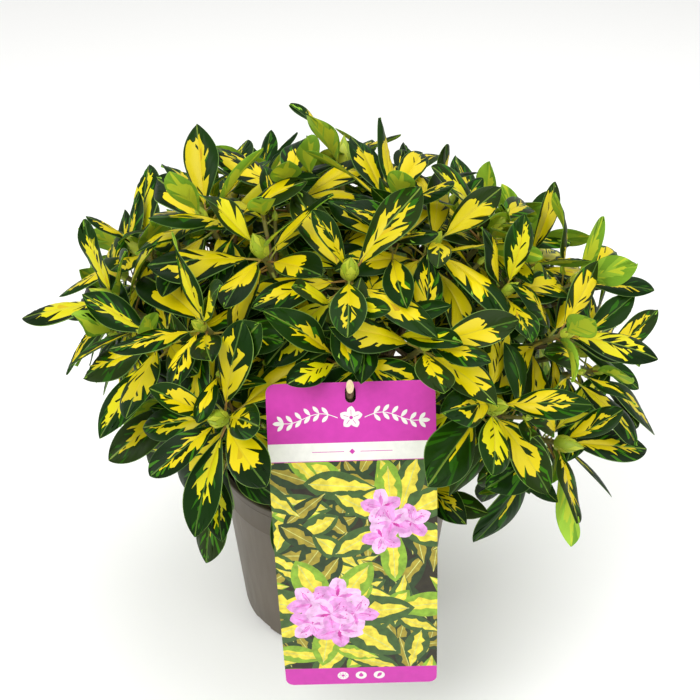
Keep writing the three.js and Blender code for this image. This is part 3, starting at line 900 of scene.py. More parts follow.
TRUNK_RINGS, TRUNK_SIDES, BOUGH_SIDES, STUB_SIDES = 48, 32, 14, 18
TRUNK_CROWDING = 1.2  # how much closer the trunk's rings stand at its foot


def barked(line, radius_at, sides, sizes):
    """A limb whose surface carries the bark's furrows. radius_at gives its radius at a share of the way."""

    def radius(share, turn):
        base = radius_at(share)
        place = line[min(int(share * (len(line) - 1)), len(line) - 1)]
        spot = Vector((math.cos(turn) * base, math.sin(turn) * base, place.length * 0.4)) / sizes.furrow
        furrow = noise.noise(spot) + 0.5 * noise.noise(spot * 2.3)
        return base * (1 - sizes.relief * (0.5 - 0.5 * furrow))

    return limb(line, radius, sides)


class SHRUB_OT_grow_limbs(bpy.types.Operator):
    """Model the trunk and its boughs with furrowed bark"""

    bl_idname = "shrub.grow_limbs"
    bl_label = "Grow Trunk and Boughs"

    def execute(self, context):
        sizes = context.scene.shrub.bark
        heap = Heap()

        def height_at(share):
            return TRUNK.height * share**TRUNK_CROWDING

        line = [trunk_at(height_at(i / TRUNK_RINGS)) for i in range(TRUNK_RINGS + 1)]
        points, faces = barked(line, lambda share: trunk_radius(height_at(share)), TRUNK_SIDES, sizes)
        for point in points[:TRUNK_SIDES]:
            point.z = TRUNK_FOOT
        heap.add(points, faces)
        masses = list_masses()
        for mass in masses[:-1]:
            heap.add(*barked(mass.line, lambda share: lerp(*BOUGH[:2], share), BOUGH_SIDES, sizes))
        limbs = heap.piece("trunk_and_boughs", [bark(sizes)])
        settle(limbs, 60, "bark", "trunk", *("bough_" + mass.name for mass in masses[:-1]))
        return {"FINISHED"}


# The stub that the card hangs on: up the trunk, its radii, and how it comes through the card.
STUB_UP = 0.056
STUB_RADII = (0.0044, 0.0029)
STUB_RISE, STUB_CUT_RISE = 62, -4
STUB_BEND, STUB_PAST, STUB_CUT = 0.090, 0.022, 0.010


def hang_point():
    """The middle of the card's slot."""
    down = SLOT_TOP + SLOT_LENGTH / 2
    lean = math.radians(CARD_TOP_LEAN)
    return CARD_TOP - Vector((0, math.sin(lean), math.cos(lean))) * down


class SHRUB_OT_make_stub(bpy.types.Operator):
    """Model the pruned stub, cut on a long slant with pale wood in the cut"""

    bl_idname = "shrub.make_stub"
    bl_label = "Make Pruned Stub"

    def execute(self, context):
        sizes = context.scene.shrub.bark
        way = heading(0, STUB_RISE)
        hang = hang_point()
        line = curved(trunk_at(STUB_UP), hang - way * STUB_BEND, hang + way * STUB_PAST, 60)
        points, faces = barked(line, lambda share: lerp(*STUB_RADII, share), STUB_SIDES, sizes)
        stub = piece_from("cut_stub", points, faces, [bark(sizes), cut_wood(sizes)])
        edit(stub)
        tilt = math.radians(STUB_CUT_RISE)
        out = Vector((0, -math.cos(tilt), math.sin(tilt)))
        bpy.ops.mesh.bisect(
            plane_co=hang + way * STUB_CUT, plane_no=out, use_fill=True, clear_outer=True, threshold=0.00001
        )
        bpy.ops.object.mode_set(mode="OBJECT")
        for face in stub.data.polygons:
            if face.normal.dot(out) > 0.999 and face.area > 1e-6:
                face.material_index = 1
        settle(stub, 45, "bark", "pruned_stub")
        return {"FINISHED"}


# ---------------------------------------------------------------- leaves

FORWARD = 2.9  # how strongly the veins run forward
OUTLINE = (1.18, 0.86)  # the outline's powers towards the stalk and the tip
RIB = 0.036  # width of each side of the midrib, of the greatest half width
EDGE = 0.026  # width of the pale margin, of the same
RELIEF = 0.0019  # height of the quilting between veins, of the length
KEEL = 0.010  # depth of the midrib below, of the length
STALK_RINGS = [(0.0, 0.0150, 0.0), (0.05, 0.0125, 0.0), (0.15, 0.0105, -0.003), (0.31, 0.0022, -0.005)]
STALK_SIDES, STALK_FLAT = 6, 0.8
VEIN_CROWDING = 1.3  # how much closer the veins stand at the blade's foot
UNDER_LEVELS = [(2, 0.0066), (4, 0.0036)]  # the levels that the under side has too, and the thickness there
FINE, COARSE = (26, 44), (12, 24)  # rows of cells and number of patterns, for leaves that show and for the rest

# The parts of a leaf that colours are dealt to.
SPLASH, FLECK, DARK, RIM, RIB_LIT, RIB_DARK, UNDER, UNDER_PALE, UNDER_SPLASH, STALK, SCORCH = range(11)

# The tones of each part, of which every leaf takes one, as screen values, with the part's roughness and gloss.
TONES = {
    SPLASH: ([(214, 194, 0), (208, 188, 0), (204, 196, 4), (198, 182, 0)], 0.42, 0.24),
    FLECK: ([(40, 90, 6), (52, 104, 8), (34, 78, 4)], 0.42, 0.09),
    DARK: ([(14, 42, 2), (20, 48, 2), (12, 34, 2), (30, 48, 6)], 0.4, 0.09),
    RIM: ([(84, 116, 44), (104, 134, 54), (62, 90, 34)], 0.45, 0.24),
    RIB_LIT: ([(206, 184, 24), (198, 182, 36)], 0.45, 0.24),
    RIB_DARK: ([(70, 100, 26), (104, 126, 40)], 0.45, 0.24),
    UNDER: ([(130, 178, 50), (120, 168, 44)], 0.5, 0.24),
    UNDER_PALE: ([(164, 206, 62), (154, 196, 56)], 0.5, 0.24),
    UNDER_SPLASH: ([(206, 222, 58), (196, 214, 58)], 0.5, 0.24),
    STALK: ([(160, 142, 56), (144, 110, 50), (150, 156, 60)], 0.45, 0.24),
    SCORCH: ([(196, 168, 8), (184, 150, 16)], 0.6, 0.24),
}

# The odds that a cell takes another part's tone than its neighbours: a dark stripe in the splash, one past the
# wedge, a dark tip of the splash and a splash beyond it, then a fleck as a share of the pattern's own odds.
STRIPE, PAST_WEDGE, DARK_TIP, BEYOND = 0.07, 0.75, 0.025, 0.06
SPARE_FLECK, OUTER_FLECK = 0.7, 0.3
UNDER_RUN = 0.7  # the odds that a cell of the under side goes on as the one before it
UNDER_OUTER, UNDER_INNER = (0.06, 0.5), (0.72, 0.2)  # the odds of a splash and of a pale cell there
SCORCHED = 0.16  # the share of patterns with a scorched spot


def half_width(u, blunt=0.0):
    """The outline's half width, as a share of its greatest, at a share of the way along the blade."""
    low, high = OUTLINE[0], OUTLINE[1] - blunt
    widest = low / (low + high)
    return u**low * (1 - u) ** high / (widest**low * (1 - widest) ** high)


def reaches(rng, rows, amount):
    """How far out the splash reaches on each vein of one side, and 0 where there is none.

    It runs out in tongues of a few veins with jagged ends, with darker gaps between them.
    """
    x = np.linspace(0, 1, rows + 1)
    end = rng.uniform(0.72, 0.95)
    body = amount * (1 - np.clip(x / end, 0, 1) ** 3) * np.minimum(1, 0.45 + x / 0.2)
    tongues = np.ones(rows + 1)
    gaps = rng.choice([0.3, 0.85])
    j = 0
    while j <= rows:
        wide = int(rng.integers(3, 8))
        tongues[j : j + wide] = rng.uniform(0.55, 1.0)
        j += wide
        if rng.random() < gaps:
            narrow = int(rng.integers(1, 3))
            tongues[j : j + narrow] = rng.uniform(0.08, 0.4)
            j += narrow
    teeth = 1 - 0.16 * rng.random(rows + 1)
    body = body * tongues * teeth
    return np.where(body > 0.05, np.clip(body, 0.1, rng.uniform(0.78, 0.92)), 0)


def row_levels(rng, roots, reach):
    """Where the cells of each vein's row begin across one half: rib, inner, splash, spare and edge."""
    width = np.maximum(half_width(roots + (1 - roots) * 0.1), 0.06)
    rib = np.minimum(RIB / width, 0.22)
    edge = 1 - np.minimum(EDGE / width, 0.16)
    splash = np.clip(reach, rib + 0.12, edge - 0.08)
    inner = rib + (splash - rib) * rng.uniform(0.3, 0.7, len(roots))
    spare = splash + (edge - splash) * rng.uniform(0.15, 0.6, len(roots))
    return np.stack([rib, inner, splash, spare, edge], 1)


def row_parts(rng, reach, j, wedge, flecked):
    """The parts of one row's cells, from the rib to the margin."""
    lit = min(reach[j], reach[j + 1]) > 0 or max(reach[j], reach[j + 1]) > 0.3
    far = j / (len(reach) - 1)
    inner = splash = SPLASH if lit else DARK
    if not lit and rng.random() < flecked:
        inner = FLECK
    if lit and (rng.random() < STRIPE or (far > wedge and rng.random() < PAST_WEDGE)):
        inner = DARK
    if lit and rng.random() < DARK_TIP:
        splash = DARK
    spare = FLECK if rng.random() < flecked * SPARE_FLECK else DARK
    if lit and rng.random() < BEYOND:
        spare = SPLASH
    outer = FLECK if rng.random() < flecked * OUTER_FLECK else DARK
    return [RIB_LIT if lit and far < wedge else RIB_DARK, inner, splash, spare, outer, RIM]


def under_part(rng, lit, outer, before):
    """The part of one cell of the under side, which is mottled where the upper side is splashed."""
    if before is not None and rng.random() < UNDER_RUN:
        return before
    odds = UNDER_OUTER if outer else UNDER_INNER
    pick = rng.random() if lit else 0.5 + 0.5 * rng.random()
    if pick < odds[0]:
        return UNDER_SPLASH
    return UNDER_PALE if pick < sum(odds) else UNDER


def blade(seed, rows, amounts, wedge, flecked):
    """A leaf's flat pattern: for each point its s, x, z and t, as on_leaf takes them, and its faces and parts.

    The upper side's cells lie in rows between forward veins, so that the splash ends in flames along them.
    """
    rng = np.random.default_rng(seed)
    petiole, width = WHORL.petiole, bpy.context.scene.shrub.leaf.width
    blunt = rng.uniform(-0.1, 0.16)
    roots = np.linspace(0, 1, rows + 1) ** VEIN_CROWDING
    ends = 1 - (1 - roots) ** FORWARD
    spots, faces, parts = [], [], []

    def spot(u, t, z):
        spots.append((petiole + (1 - petiole) * u, t * half_width(u, blunt) * width / 2, z, t))
        return len(spots) - 1

    def face(corners, part, forward):
        corners = list(dict.fromkeys(corners))
        if len(corners) > 2:
            faces.append(tuple(corners if forward else reversed(corners)))
            parts.append(part)

    base, tip = spot(0, 0, 0), spot(1, 0, 0)
    ridge = [base] + [spot(roots[j], 0, -RELIEF * 1.4) for j in range(1, rows)] + [tip]
    keel = [base] + [spot(roots[j], 0, -KEEL * (1 - roots[j]) ** 0.5) for j in range(1, rows)] + [tip]
    scorched = rng.integers(3, rows) if rng.random() < SCORCHED else -9
    for side, amount in zip((-1, 1), amounts):
        reach = reaches(rng, rows, amount)
        levels = row_levels(rng, roots, reach)
        top = [[base] * 7]
        for j in range(1, rows):
            line = [ridge[j]]
            for t in (*levels[j], 1.0):
                u = roots[j] + (ends[j] - roots[j]) * t
                line.append(spot(u, side * t, RELIEF * (1 if j % 2 else -1) * 6 * t * (1 - t) ** 2))
            top.append(line)
        top.append([tip] * 7)
        for j in range(rows):
            row = row_parts(rng, reach, j, wedge, flecked)
            if side > 0 and abs(j - scorched) < 2 and row[1] == SPLASH:
                row[1] = SCORCH
            for k, part in enumerate(row):
                face((top[j][k], top[j][k + 1], top[j + 1][k + 1], top[j + 1][k]), part, side > 0)
        under = [keel]
        for level, thick in UNDER_LEVELS:
            line = [
                spot(roots[j] + (ends[j] - roots[j]) * levels[j][level], side * levels[j][level], -thick)
                for j in range(1, rows)
            ]
            under.append([base, *line, tip])
        under.append([line[-1] for line in top])
        part = [None] * len(UNDER_LEVELS)
        for j in range(rows):
            for k in range(len(UNDER_LEVELS)):
                part[k] = under_part(rng, reach[j] > 0, k > 0, part[k])
            for k, tone in enumerate((*part, UNDER)):
                cell = (under[k][j], under[k + 1][j], under[k + 1][j + 1], under[k][j + 1])
                face(cell, tone, side < 0)
    turns = turns_round(STALK_SIDES)
    stalk, walls = skin([
        [(s, radius * math.cos(turn), z + radius * STALK_FLAT * math.sin(turn), 0) for turn in turns]
        for s, radius, z in STALK_RINGS
    ])
    for corners in walls:
        face([len(spots) + corner for corner in corners], STALK, False)
    return np.array(spots + stalk), faces, np.array(parts)


def list_blades(rows, many):
    """Patterns from the most yellow leaf to the darkest, with this many rows of cells."""
    blades = []
    for i in range(many):
        yellow = 1 - i / (many - 1)
        amount = lerp(0.14, 1.5, yellow**0.6)
        lean = between(0.45, 1, 601, i)
        amounts = (amount, amount * lean) if i % 2 else (amount * lean, amount)
        wedge = between(0.4, 1.3, 602, i)
        blades.append(blade(i + rows * 100, rows, amounts, wedge, 0.08 + 0.3 * (1 - yellow)))
    return blades


BERTH = 0.018  # how far a leaf stays from limbs, pot and card, as a share of its length
HELD_BACK, HELD_RISE = 0.10, 32  # leaves are held back from the card's head: how far out, and the slant
HOOD_INSET, HOOD_LOW, HOOD_HIGH, HOOD_OUT = 0.012, 0.050, 0.004, 0.004  # in from its sides, down it, off it
GLIMPSE = (-54, -43, -32)  # the stretch of the pot's rim that leaves are held back from, as turns
GLIMPSE_FAR, GLIMPSE_WAY = 0.20, (6, 38)  # how far out, and the way as a turn and a rise
STRAY_OUT = 0.006  # how far a leaf may reach past the solids' box
TWIG_BERTH = 0.002  # the radius that twigs are taken to have


class Clearings:
    """What stands already, so that a new leaf can be told to keep clear of it."""

    def __init__(self, fixed):
        self.fixed = fixed
        self.places, self.trees = [], []
        along = [0.2, 0.3, 0.42, 0.54, 0.66, 0.77, 0.87, 0.94, 0.995]
        across = [-1.0, -0.5, 0.0, 0.5, 1.0]
        self.s = np.repeat(along, len(across))
        self.t = np.tile(across, len(along))
        u = (self.s - WHORL.petiole) / (1 - WHORL.petiole)
        self.x = self.t * half_width(u) * bpy.context.scene.shrub.leaf.width / 2
        self.faces = [face for a, b, c, d in grid(len(along), len(across)) for face in ((a, b, c), (a, c, d))]

    def sample(self, leaf, raised=0.0):
        """A sheet of points over a leaf, raised from it by a share of its length."""
        return on_leaf(leaf, self.s, self.x, np.full_like(self.s, raised), self.t)

    def take(self, leaf):
        """Keeps this leaf's place if it meets nothing, and says whether it did."""
        points = self.sample(leaf)
        low, high = points.min(0), points.max(0)
        if (low < np.array(CAD_LOW) - STRAY_OUT).any() or (high > np.array(CAD_HIGH) + STRAY_OUT).any():
            return False
        tree = BVHTree.FromPolygons(points.tolist(), self.faces)
        for raised in (-BERTH, 0, BERTH):
            sheet = self.sample(leaf, raised).tolist()
            if BVHTree.FromPolygons(sheet, self.faces).overlap(self.fixed):
                return False
        middle, radius = (low + high) / 2, np.linalg.norm(high - low) / 2
        if self.places:
            known = np.array(self.places)
            near = np.linalg.norm(known[:, :3] - middle, axis=1) < known[:, 3] + radius
            if any(tree.overlap(self.trees[i]) for i in np.flatnonzero(near)):
                return False
        self.places.append((*middle, radius))
        self.trees.append(tree)
        return True


def card_hood():
    """A slanting shelf and two cheeks round the card's head, which no leaf crosses, so that it can be seen."""
    half = CARD_WIDTH / 2 - HOOD_INSET
    flat = [(-half, -HOOD_LOW), (-half, -HOOD_HIGH), (half, -HOOD_HIGH), (half, -HOOD_LOW)]
    near = [Vector(point) for point in on_card(np.array(flat), HOOD_OUT)]
    far = [point + heading(0, HELD_RISE) * HELD_BACK for point in near]
    return near + far, [(0, 1, 5, 4), (1, 2, 6, 5), (2, 3, 7, 6)]


def rim_glimpse():
    """A slanting sheet out from a stretch of the pot's rim that no leaf crosses, so that the rim can be seen."""
    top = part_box("pot")[1]
    near = [heading(turn, 0) * top.x + UP * top.z for turn in GLIMPSE]
    far = [point + heading(*GLIMPSE_WAY) * GLIMPSE_FAR for point in near]
    return near + far, [(0, 1, 4, 3), (1, 2, 5, 4)]


def standing_things(masses, shoots):
    """The pot, card, stub, limbs and twigs, as one tree of faces."""
    heap = Heap()
    for name in ("pot", "root_ball", "hanging_card", "pruned_stub", "trunk"):
        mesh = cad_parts[name].data
        heap.add([v.co for v in mesh.vertices], [p.vertices for p in mesh.polygons])
    heap.add(*card_hood())
    heap.add(*rim_glimpse())
    for mass in masses[:-1]:
        heap.add(*limb(mass.line, lambda share, turn: BOUGH.base_radius, 5))
    for shoot in shoots:
        heap.add(*limb(shoot.line[::2] + shoot.line[-1:], lambda share, turn: TWIG_BERTH, 3))
    return BVHTree.FromPolygons(heap.all_points().tolist(), heap.faces)


class SHRUB_OT_grow_leaves(bpy.types.Operator):
    """Grow every shoot's leaves by the plant's rule, each clear of its neighbours"""

    bl_idname = "shrub.grow_leaves"
    bl_label = "Grow Leaves"

    dark_below, bright_above = 0.25, 0.43  # heights
    darker, brighter = 0.40, -0.30  # how far the pick of a pattern moves below and above them
    painted_shade_inside = 0.45  # how far it moves inside the crown and on last year's leaves: painted shade of the crown's inside
    young_power, power_fall = 1.9, 0.6  # the higher the power, the more leaves are yellow
    full_heap = 135000  # triangles, after which the next mass starts a new piece

    def execute(self, context):
        masses = list_masses()
        shoots = {mass.name: shoots_of(mass) for mass in masses}
        every = [shoot for group in shoots.values() for shoot in group]
        clearings = Clearings(standing_things(masses, every))
        fine, coarse = list_blades(*FINE), list_blades(*COARSE)
        finishes, places = self.finishes()
        placed = {}
        for at_dome in (True, False):  # the shoots at the dome take their room first
            for mass in masses:
                for shoot in shoots[mass.name]:
                    if (shoot.size == 1) == at_dome:
                        placed.setdefault(mass.name, []).extend(self.leaves_of(shoot, clearings))
        heaps, names = [Heap()], [[]]
        for mass in masses:
            if heaps[-1].triangles() > self.full_heap:
                heaps.append(Heap())
                names.append([])
            names[-1].append("foliage_" + mass.name)
            for leaf, key, i, age in placed[mass.name]:
                blades = coarse if key >= INNER_KEYS or age > 1 else fine
                spots, faces, parts = blades[self.pattern_of(len(blades), leaf, key, i, age)]
                tones = [some[int(chance(key, 20 + part, i) * len(some))] for part, some in enumerate(places)]
                heaps[-1].add(on_leaf(leaf, *spots.T), faces, np.array(tones)[parts])
        for number, (heap, nodes) in enumerate(zip(heaps, names), 1):
            leaves = heap.piece(f"leaves_{number}", finishes)
            settle(leaves, 55, "foliage", *nodes)
        return {"FINISHED"}

    def finishes(self):
        """Every tone as a finish, and where each part's tones stand in that list."""
        finishes, places = [], []
        for part, (tones, roughness, gloss) in TONES.items():
            start = len(finishes)
            finishes += tones_of(f"leaf_{part}", tones, roughness, Specular_IOR_Level=gloss)
            places.append(range(start, len(finishes)))
        return finishes, places

    def leaves_of(self, shoot, clearings):
        """The leaves of a shoot that find room, each with the keys that its colours are dealt by."""
        found = []
        for site in leaf_sites(shoot):
            for change in TRIES:
                leaf = leaf_place(shoot, site, change)
                if clearings.take(leaf):
                    found.append((leaf, shoot.key, site[0], site[1]))
                    break
        return found

    def pattern_of(self, many, leaf, key, i, age):
        """Young leaves high on the dome are the most yellow, and those inside and below the darkest. The darker
        patterns inside the crown and on last year's leaves are painted shade.
        """
        pick = chance(key, 15, i) ** (self.young_power - self.power_fall * min(age, 1))
        # painted shade: leaves inside the crown and last year's leaves take darker patterns
        pick += self.painted_shade_inside if key >= INNER_KEYS or age > 1 else 0
        height = (leaf.foot[2] - self.dark_below) / (self.bright_above - self.dark_below)
        pick += lerp(self.darker, self.brighter, min(max(height, 0), 1))
        return min(max(int(pick * many), 0), many - 1)


# ---------------------------------------------------------------- twigs and buds


FINE_TWIG = (0.0019, 0.0016)  # the radii of a finer twig
TWIG_KNOTS, KNOTS_ALONG = 0.12, 9  # how far a twig swells and shrinks, and how closely
STEM_ENDS = (0.003, 0.004, 0.002)  # a stem starts inside its bough, sets out along it and ends past its fork
TWIG_BROWNS = [(84, 66, 42), (106, 86, 50), (122, 118, 54)]  # from the fork to the leafy end
TWIG_SIDES = 8


class SHRUB_OT_grow_twigs(bpy.types.Operator):
    """Grow the stems, twigs and finer twigs that carry the leaves"""

    bl_idname = "shrub.grow_twigs"
    bl_label = "Grow Twigs"

    def execute(self, context):
        heap = Heap()
        for mass in list_masses():
            start, fork, way = fork_of(mass)
            thick = TRUNK.tip_radius if mass.name == "leader" else BOUGH.tip_radius
            inside, along, past = STEM_ENDS
            end = fork + (fork - start).normalized() * past
            stem = curved(start - way * inside, start + way * along, end, 8)
            heap.add(*limb(stem, lambda share, turn: lerp(thick, TWIG.fork_radius, share), 10))
            for shoot in shoots_of(mass):
                first, last = FINE_TWIG if shoot.size < 1 else (TWIG.fork_radius, TWIG.tip_radius)

                def radius(share, turn):
                    spot = Vector((share * KNOTS_ALONG, math.cos(turn), shoot.key * 0.37))
                    return lerp(first, last, share) * (1 + TWIG_KNOTS * noise.noise(spot))

                points, faces = limb(shoot.line, radius, TWIG_SIDES)
                steps = len(shoot.line)
                tones = [min(2, int(3 * (f // TWIG_SIDES) / steps + 0.4)) for f in range(len(faces))]
                heap.add(points, faces, tones)
        twigs = heap.piece("twigs", tones_of("twig", TWIG_BROWNS, 0.7))
        settle(twigs, 50, "bark")
        return {"FINISHED"}


# The tiers of a bud's scales, as (foot, tip, scales, half width as an angle, lift), from the outermost.
BUD_TIERS = [(0.0, 0.46, 5, 44, 0.16), (0.12, 0.72, 5, 42, 0.10), (0.32, 0.98, 4, 46, 0.04)]
SCALE_OUTLINE = [(0.0, 0.75), (0.4, 1.0), (0.75, 0.72), (1.0, 0.06)]  # (share of its height, of its half width)
SCALE_INSIDE = 0.9  # where the inside of a scale lies, as a share of the bud's radius
TIER_TURN = 0.41  # how far each tier is turned from the one below
CORE_RINGS, CORE_GIRTH = (0, 0.3, 0.6, 0.85, 0.985), 0.93  # the core's heights, and its share of the radius
BUD_SUNK = 0.1  # how far a bud's foot is sunk in its shoot
FAT_BUD, SLIM_BUD, SIDE_BUD = (0.0250, 0.0068), (0.0175, 0.0043), (0.0095, 0.0026)  # length and radius
BUD_TONES = [(194, 206, 62), (160, 184, 48), (112, 112, 30)]


def bud_girth(up):
    """A bud's radius as a share of its greatest, fullest below its middle and pointed at its tip."""
    return (1 - up) ** 1.3 * (0.8 + 2.8 * up) / 1.06


def bud_shape(tiers, sides):
    """A bud of unit length and radius on its foot: a core under tiers of overlapping pointed scales."""
    heap = Heap()
    rings = []
    for up in CORE_RINGS:
        girth, level = CORE_GIRTH * bud_girth(up), up - BUD_SUNK
        rings.append([Vector((girth * math.cos(t), girth * math.sin(t), level)) for t in turns_round(sides)])
    heap.add(*skin(rings), 1)
    across = (-1.0, 0.0, 1.0)
    for number, (foot, tip, many, half, lift) in enumerate(tiers):
        for i in range(many):
            turn = math.tau * (i / many + number * TIER_TURN)
            outer, inner = [], []
            for up_share, width in SCALE_OUTLINE:
                up = lerp(foot, tip, up_share)
                for aside in across:
                    angle_out = turn + math.radians(half) * width * aside
                    out = bud_girth(up) + lift * (1 - 0.45 * aside**2) * (1 - 0.3 * up_share)
                    outer.append((out * math.cos(angle_out), out * math.sin(angle_out), up - BUD_SUNK))
                    out = bud_girth(up) * SCALE_INSIDE
                    inner.append((out * math.cos(angle_out), out * math.sin(angle_out), up - BUD_SUNK))
            sheet, back = grid(len(SCALE_OUTLINE), len(across)), len(outer)
            sheet += [tuple(reversed([corner + back for corner in face])) for face in sheet]
            edge = [0, 1, 2, 5, 8, 11, 10, 9, 6, 3]
            rim = [(b, a, a + back, b + back) for a, b in zip(edge, edge[1:] + edge[:1])]
            heap.add(outer + inner, sheet + rim, [(i + number) % 2] * len(sheet) + [2] * len(rim))
    return heap.all_points(), heap.faces, heap.dealt


class SHRUB_OT_grow_buds(bpy.types.Operator):
    """Set a scaly bud on every shoot"""

    bl_idname = "shrub.grow_buds"
    bl_label = "Grow Buds"

    def execute(self, context):
        full, small = bud_shape(BUD_TIERS, 10), bud_shape(BUD_TIERS[1:2], 6)
        heap = Heap()
        for mass in list_masses():
            for shoot in shoots_of(mass):
                way = (shoot.line[-1] - shoot.line[-2]).normalized()
                inner = shoot.key >= INNER_KEYS
                corners, faces, parts = small if inner else full
                tall, wide = SIDE_BUD if inner else FAT_BUD if shoot.fat else SLIM_BUD
                size = Matrix.Diagonal((wide, wide, tall, 1))
                turn = UP.rotation_difference(way).to_matrix().to_4x4()
                spin = Matrix.Rotation(math.tau * chance(shoot.key, 17), 4, "Z")
                place = Matrix.Translation(shoot.line[-1])
                heap.add(moved(corners, place @ turn @ spin @ size), faces, parts)
        buds = heap.piece("buds", tones_of("bud_scale", BUD_TONES, 0.42))
        settle(buds, 50, "foliage")
        return {"FINISHED"}


# ---------------------------------------------------------------- hanging card

CARD_WIDTH, CARD_LENGTH, CARD_CORNER = 0.1255, 0.283, 0.007
CARD_TOP = Vector((0.012, -0.175, 0.354))
CARD_TOP_LEAN, CARD_BOTTOM_LEAN, CARD_SKEW = 27, -4, 2
SLOT_WIDTH, SLOT_LENGTH, SLOT_TOP = 0.008, 0.013, 0.0025
CARD_STEPS, CARD_BENDS = 120, 56  # steps that its line is worked out in, and rows of faces down its length

# The print's sizes, in metres on the flat card, down from the middle of its top edge.
OVERPRINT = 0.001  # how far the bands run past the card's edges
BAND_RULE = 0.0006  # the rule between the pale strip and the picture
HEAD_MIDDLE, HEAD_BLOSSOM = (0, -0.0265), 0.0085
SPRIG_STEPS, SPRIG_LEAN = 12, 0.85  # steps along a sprig, and the angle that its leaves stand at
DISCS_APART, DISC = 0.015, 0.0046  # the discs on the foot, and their radius
STREWN = (6, 12)  # columns and lines of leaves in each layer of the thicket
STREWN_HALF, STREWN_STRAY = 0.058, 0.012  # half the width that they cover, and how far each strays
STREWN_LONG = (0.036, 0.058)  # the shortest and the longest of them
INK_PAIRS = [("dark_leaf", "dull_splash"), ("leaf", "splash"), ("lime_leaf", "splash")]
CLUSTERS = [(0.028, -0.112, 0.055, 6, 4), (-0.022, -0.200, 0.068, 7, 6)]  # x, y, reach, leaves, blossoms


def card_line():
    """The card's middle line, from top to bottom, as rows of distance down, y, z and lean."""
    y, z = CARD_TOP.y, CARD_TOP.z
    step = CARD_LENGTH / CARD_STEPS
    rows = []
    for i in range(CARD_STEPS + 1):
        lean = math.radians(lerp(CARD_BOTTOM_LEAN, CARD_TOP_LEAN, (1 - i / CARD_STEPS) ** 2))
        rows.append((CARD_LENGTH * i / CARD_STEPS, y, z, lean))
        y -= step * math.sin(lean)
        z -= step * math.cos(lean)
    return np.array(rows)


def on_card(flat, out):
    """Points of the bent, skewed card from flat ones, x across and y up from its top edge, and how far out."""
    line = card_line()
    down = -flat[:, 1]
    y, z, lean = (np.interp(down, line[:, 0], line[:, column]) for column in (1, 2, 3))
    y = y - out * np.cos(lean) - CARD_TOP.y
    z = z + out * np.sin(lean) - CARD_TOP.z
    skew = -math.radians(CARD_SKEW)
    x = flat[:, 0] * math.cos(skew) + z * math.sin(skew)
    z = -flat[:, 0] * math.sin(skew) + z * math.cos(skew)
    return np.stack([x, y, z], 1) + np.array(CARD_TOP)


def rounded_box(width, height, radius, middle=(0, 0), steps=8):
    points = []
    for quarter, (sx, sy) in enumerate(((1, -1), (1, 1), (-1, 1), (-1, -1))):
        for i in range(steps + 1):
            turn = math.pi / 2 * (quarter - 1 + i / steps)
            x = middle[0] + sx * (width / 2 - radius) + radius * math.cos(turn)
            y = middle[1] + sy * (height / 2 - radius) + radius * math.sin(turn)
            points.append((round(x, 7), round(y, 7)))
    return list(dict.fromkeys(points))


def placed(points, turn, size, middle):
    """A flat outline, turned, sized and put in its place."""
    c, s = math.cos(turn) * size, math.sin(turn) * size
    return [(middle[0] + x * c - y * s, middle[1] + x * s + y * c) for x, y in points]


def leaf_outline(width, jag=0.0, seed=0):
    """A leaf from its foot at the origin up to its tip at y 1, with jagged sides if asked for."""
    steps = 12
    right, left = [], []
    for i in range(1, steps):
        x = width * half_width(i / steps)
        right.append((x * (1 - jag * chance(seed, i)), i / steps))
        left.append((-x * (1 - jag * chance(seed, 50 + i)), i / steps))
    return [(0, 0), *right, (0, 1), *reversed(left)]


def petal_outline(seed):
    """A ruffled petal from the origin up to y 1."""
    points = []
    for turn in turns_round(15):
        ruffle = 1 + 0.07 * math.sin(5 * turn + 6 * chance(seed, 3)) * (1 - math.cos(turn)) / 2
        points.append((0.36 * math.sin(turn) * ruffle, 0.5 - 0.5 * math.cos(turn) * ruffle))
    return points


def ribbon(line, width):
    """A thin flat band along a line of points."""
    left, right = [], []
    for i, point in enumerate(line):
        ahead = Vector(line[min(i + 1, len(line) - 1)]) - Vector(line[max(i - 1, 0)])
        across = ahead.orthogonal().normalized() * width / 2
        left.append(tuple(Vector(point) + across))
        right.append(tuple(Vector(point) - across))
    return left + right[::-1]


def disc(middle, radius, steps=16):
    return [(middle[0] + radius * math.cos(t), middle[1] + radius * math.sin(t)) for t in turns_round(steps)]


def printed_leaf(foot, turn, size, inks, seed):
    """A splashed leaf that sets out from its foot, as outlines with their inks."""
    green, yellow = inks
    broad = between(0.17, 0.23, seed, 1)
    return [
        (placed(leaf_outline(broad), turn, size, foot), green),
        (placed(leaf_outline(broad * 0.78, 0.62, seed), turn, size * 0.92, foot), yellow),
        (placed(ribbon([(0, 0.02), (0, 0.93)], 0.013), turn, size, foot), "rib"),
    ]


def printed_blossom(middle, size, seed):
    """An open blossom with five ruffled petals, a deep throat and thin stamens."""
    shapes = []
    start = math.tau * chance(seed, 1)
    for petal in range(5):
        turn = start + math.tau * petal / 5 + between(-0.1, 0.1, seed, 2, petal)
        tone = ("blush", "petal")[(petal + seed) % 2]
        shapes.append((placed(petal_outline(seed * 5 + petal), turn, size, middle), tone))
        shapes.append((placed(leaf_outline(0.20, 0.5, seed * 9 + petal), turn, size * 0.66, middle), "blossom"))
        shapes.append((placed(ribbon([(0, 0.1), (0, 0.8)], 0.014), turn, size, middle), "throat"))
    shapes.append((placed(leaf_outline(0.22, 0.5, seed), start, size * 0.46, middle), "throat"))
    for stamen in range(5):
        turn = start + math.pi + (stamen - 2) * 0.34
        shapes.append((placed(ribbon([(0, 0.05), (0, 0.62)], 0.022), turn, size, middle), "blush"))
        end = placed([(0, 0.64)], turn, size, middle)[0]
        shapes.append((disc(end, size * 0.035, 6), "throat"))
    return shapes


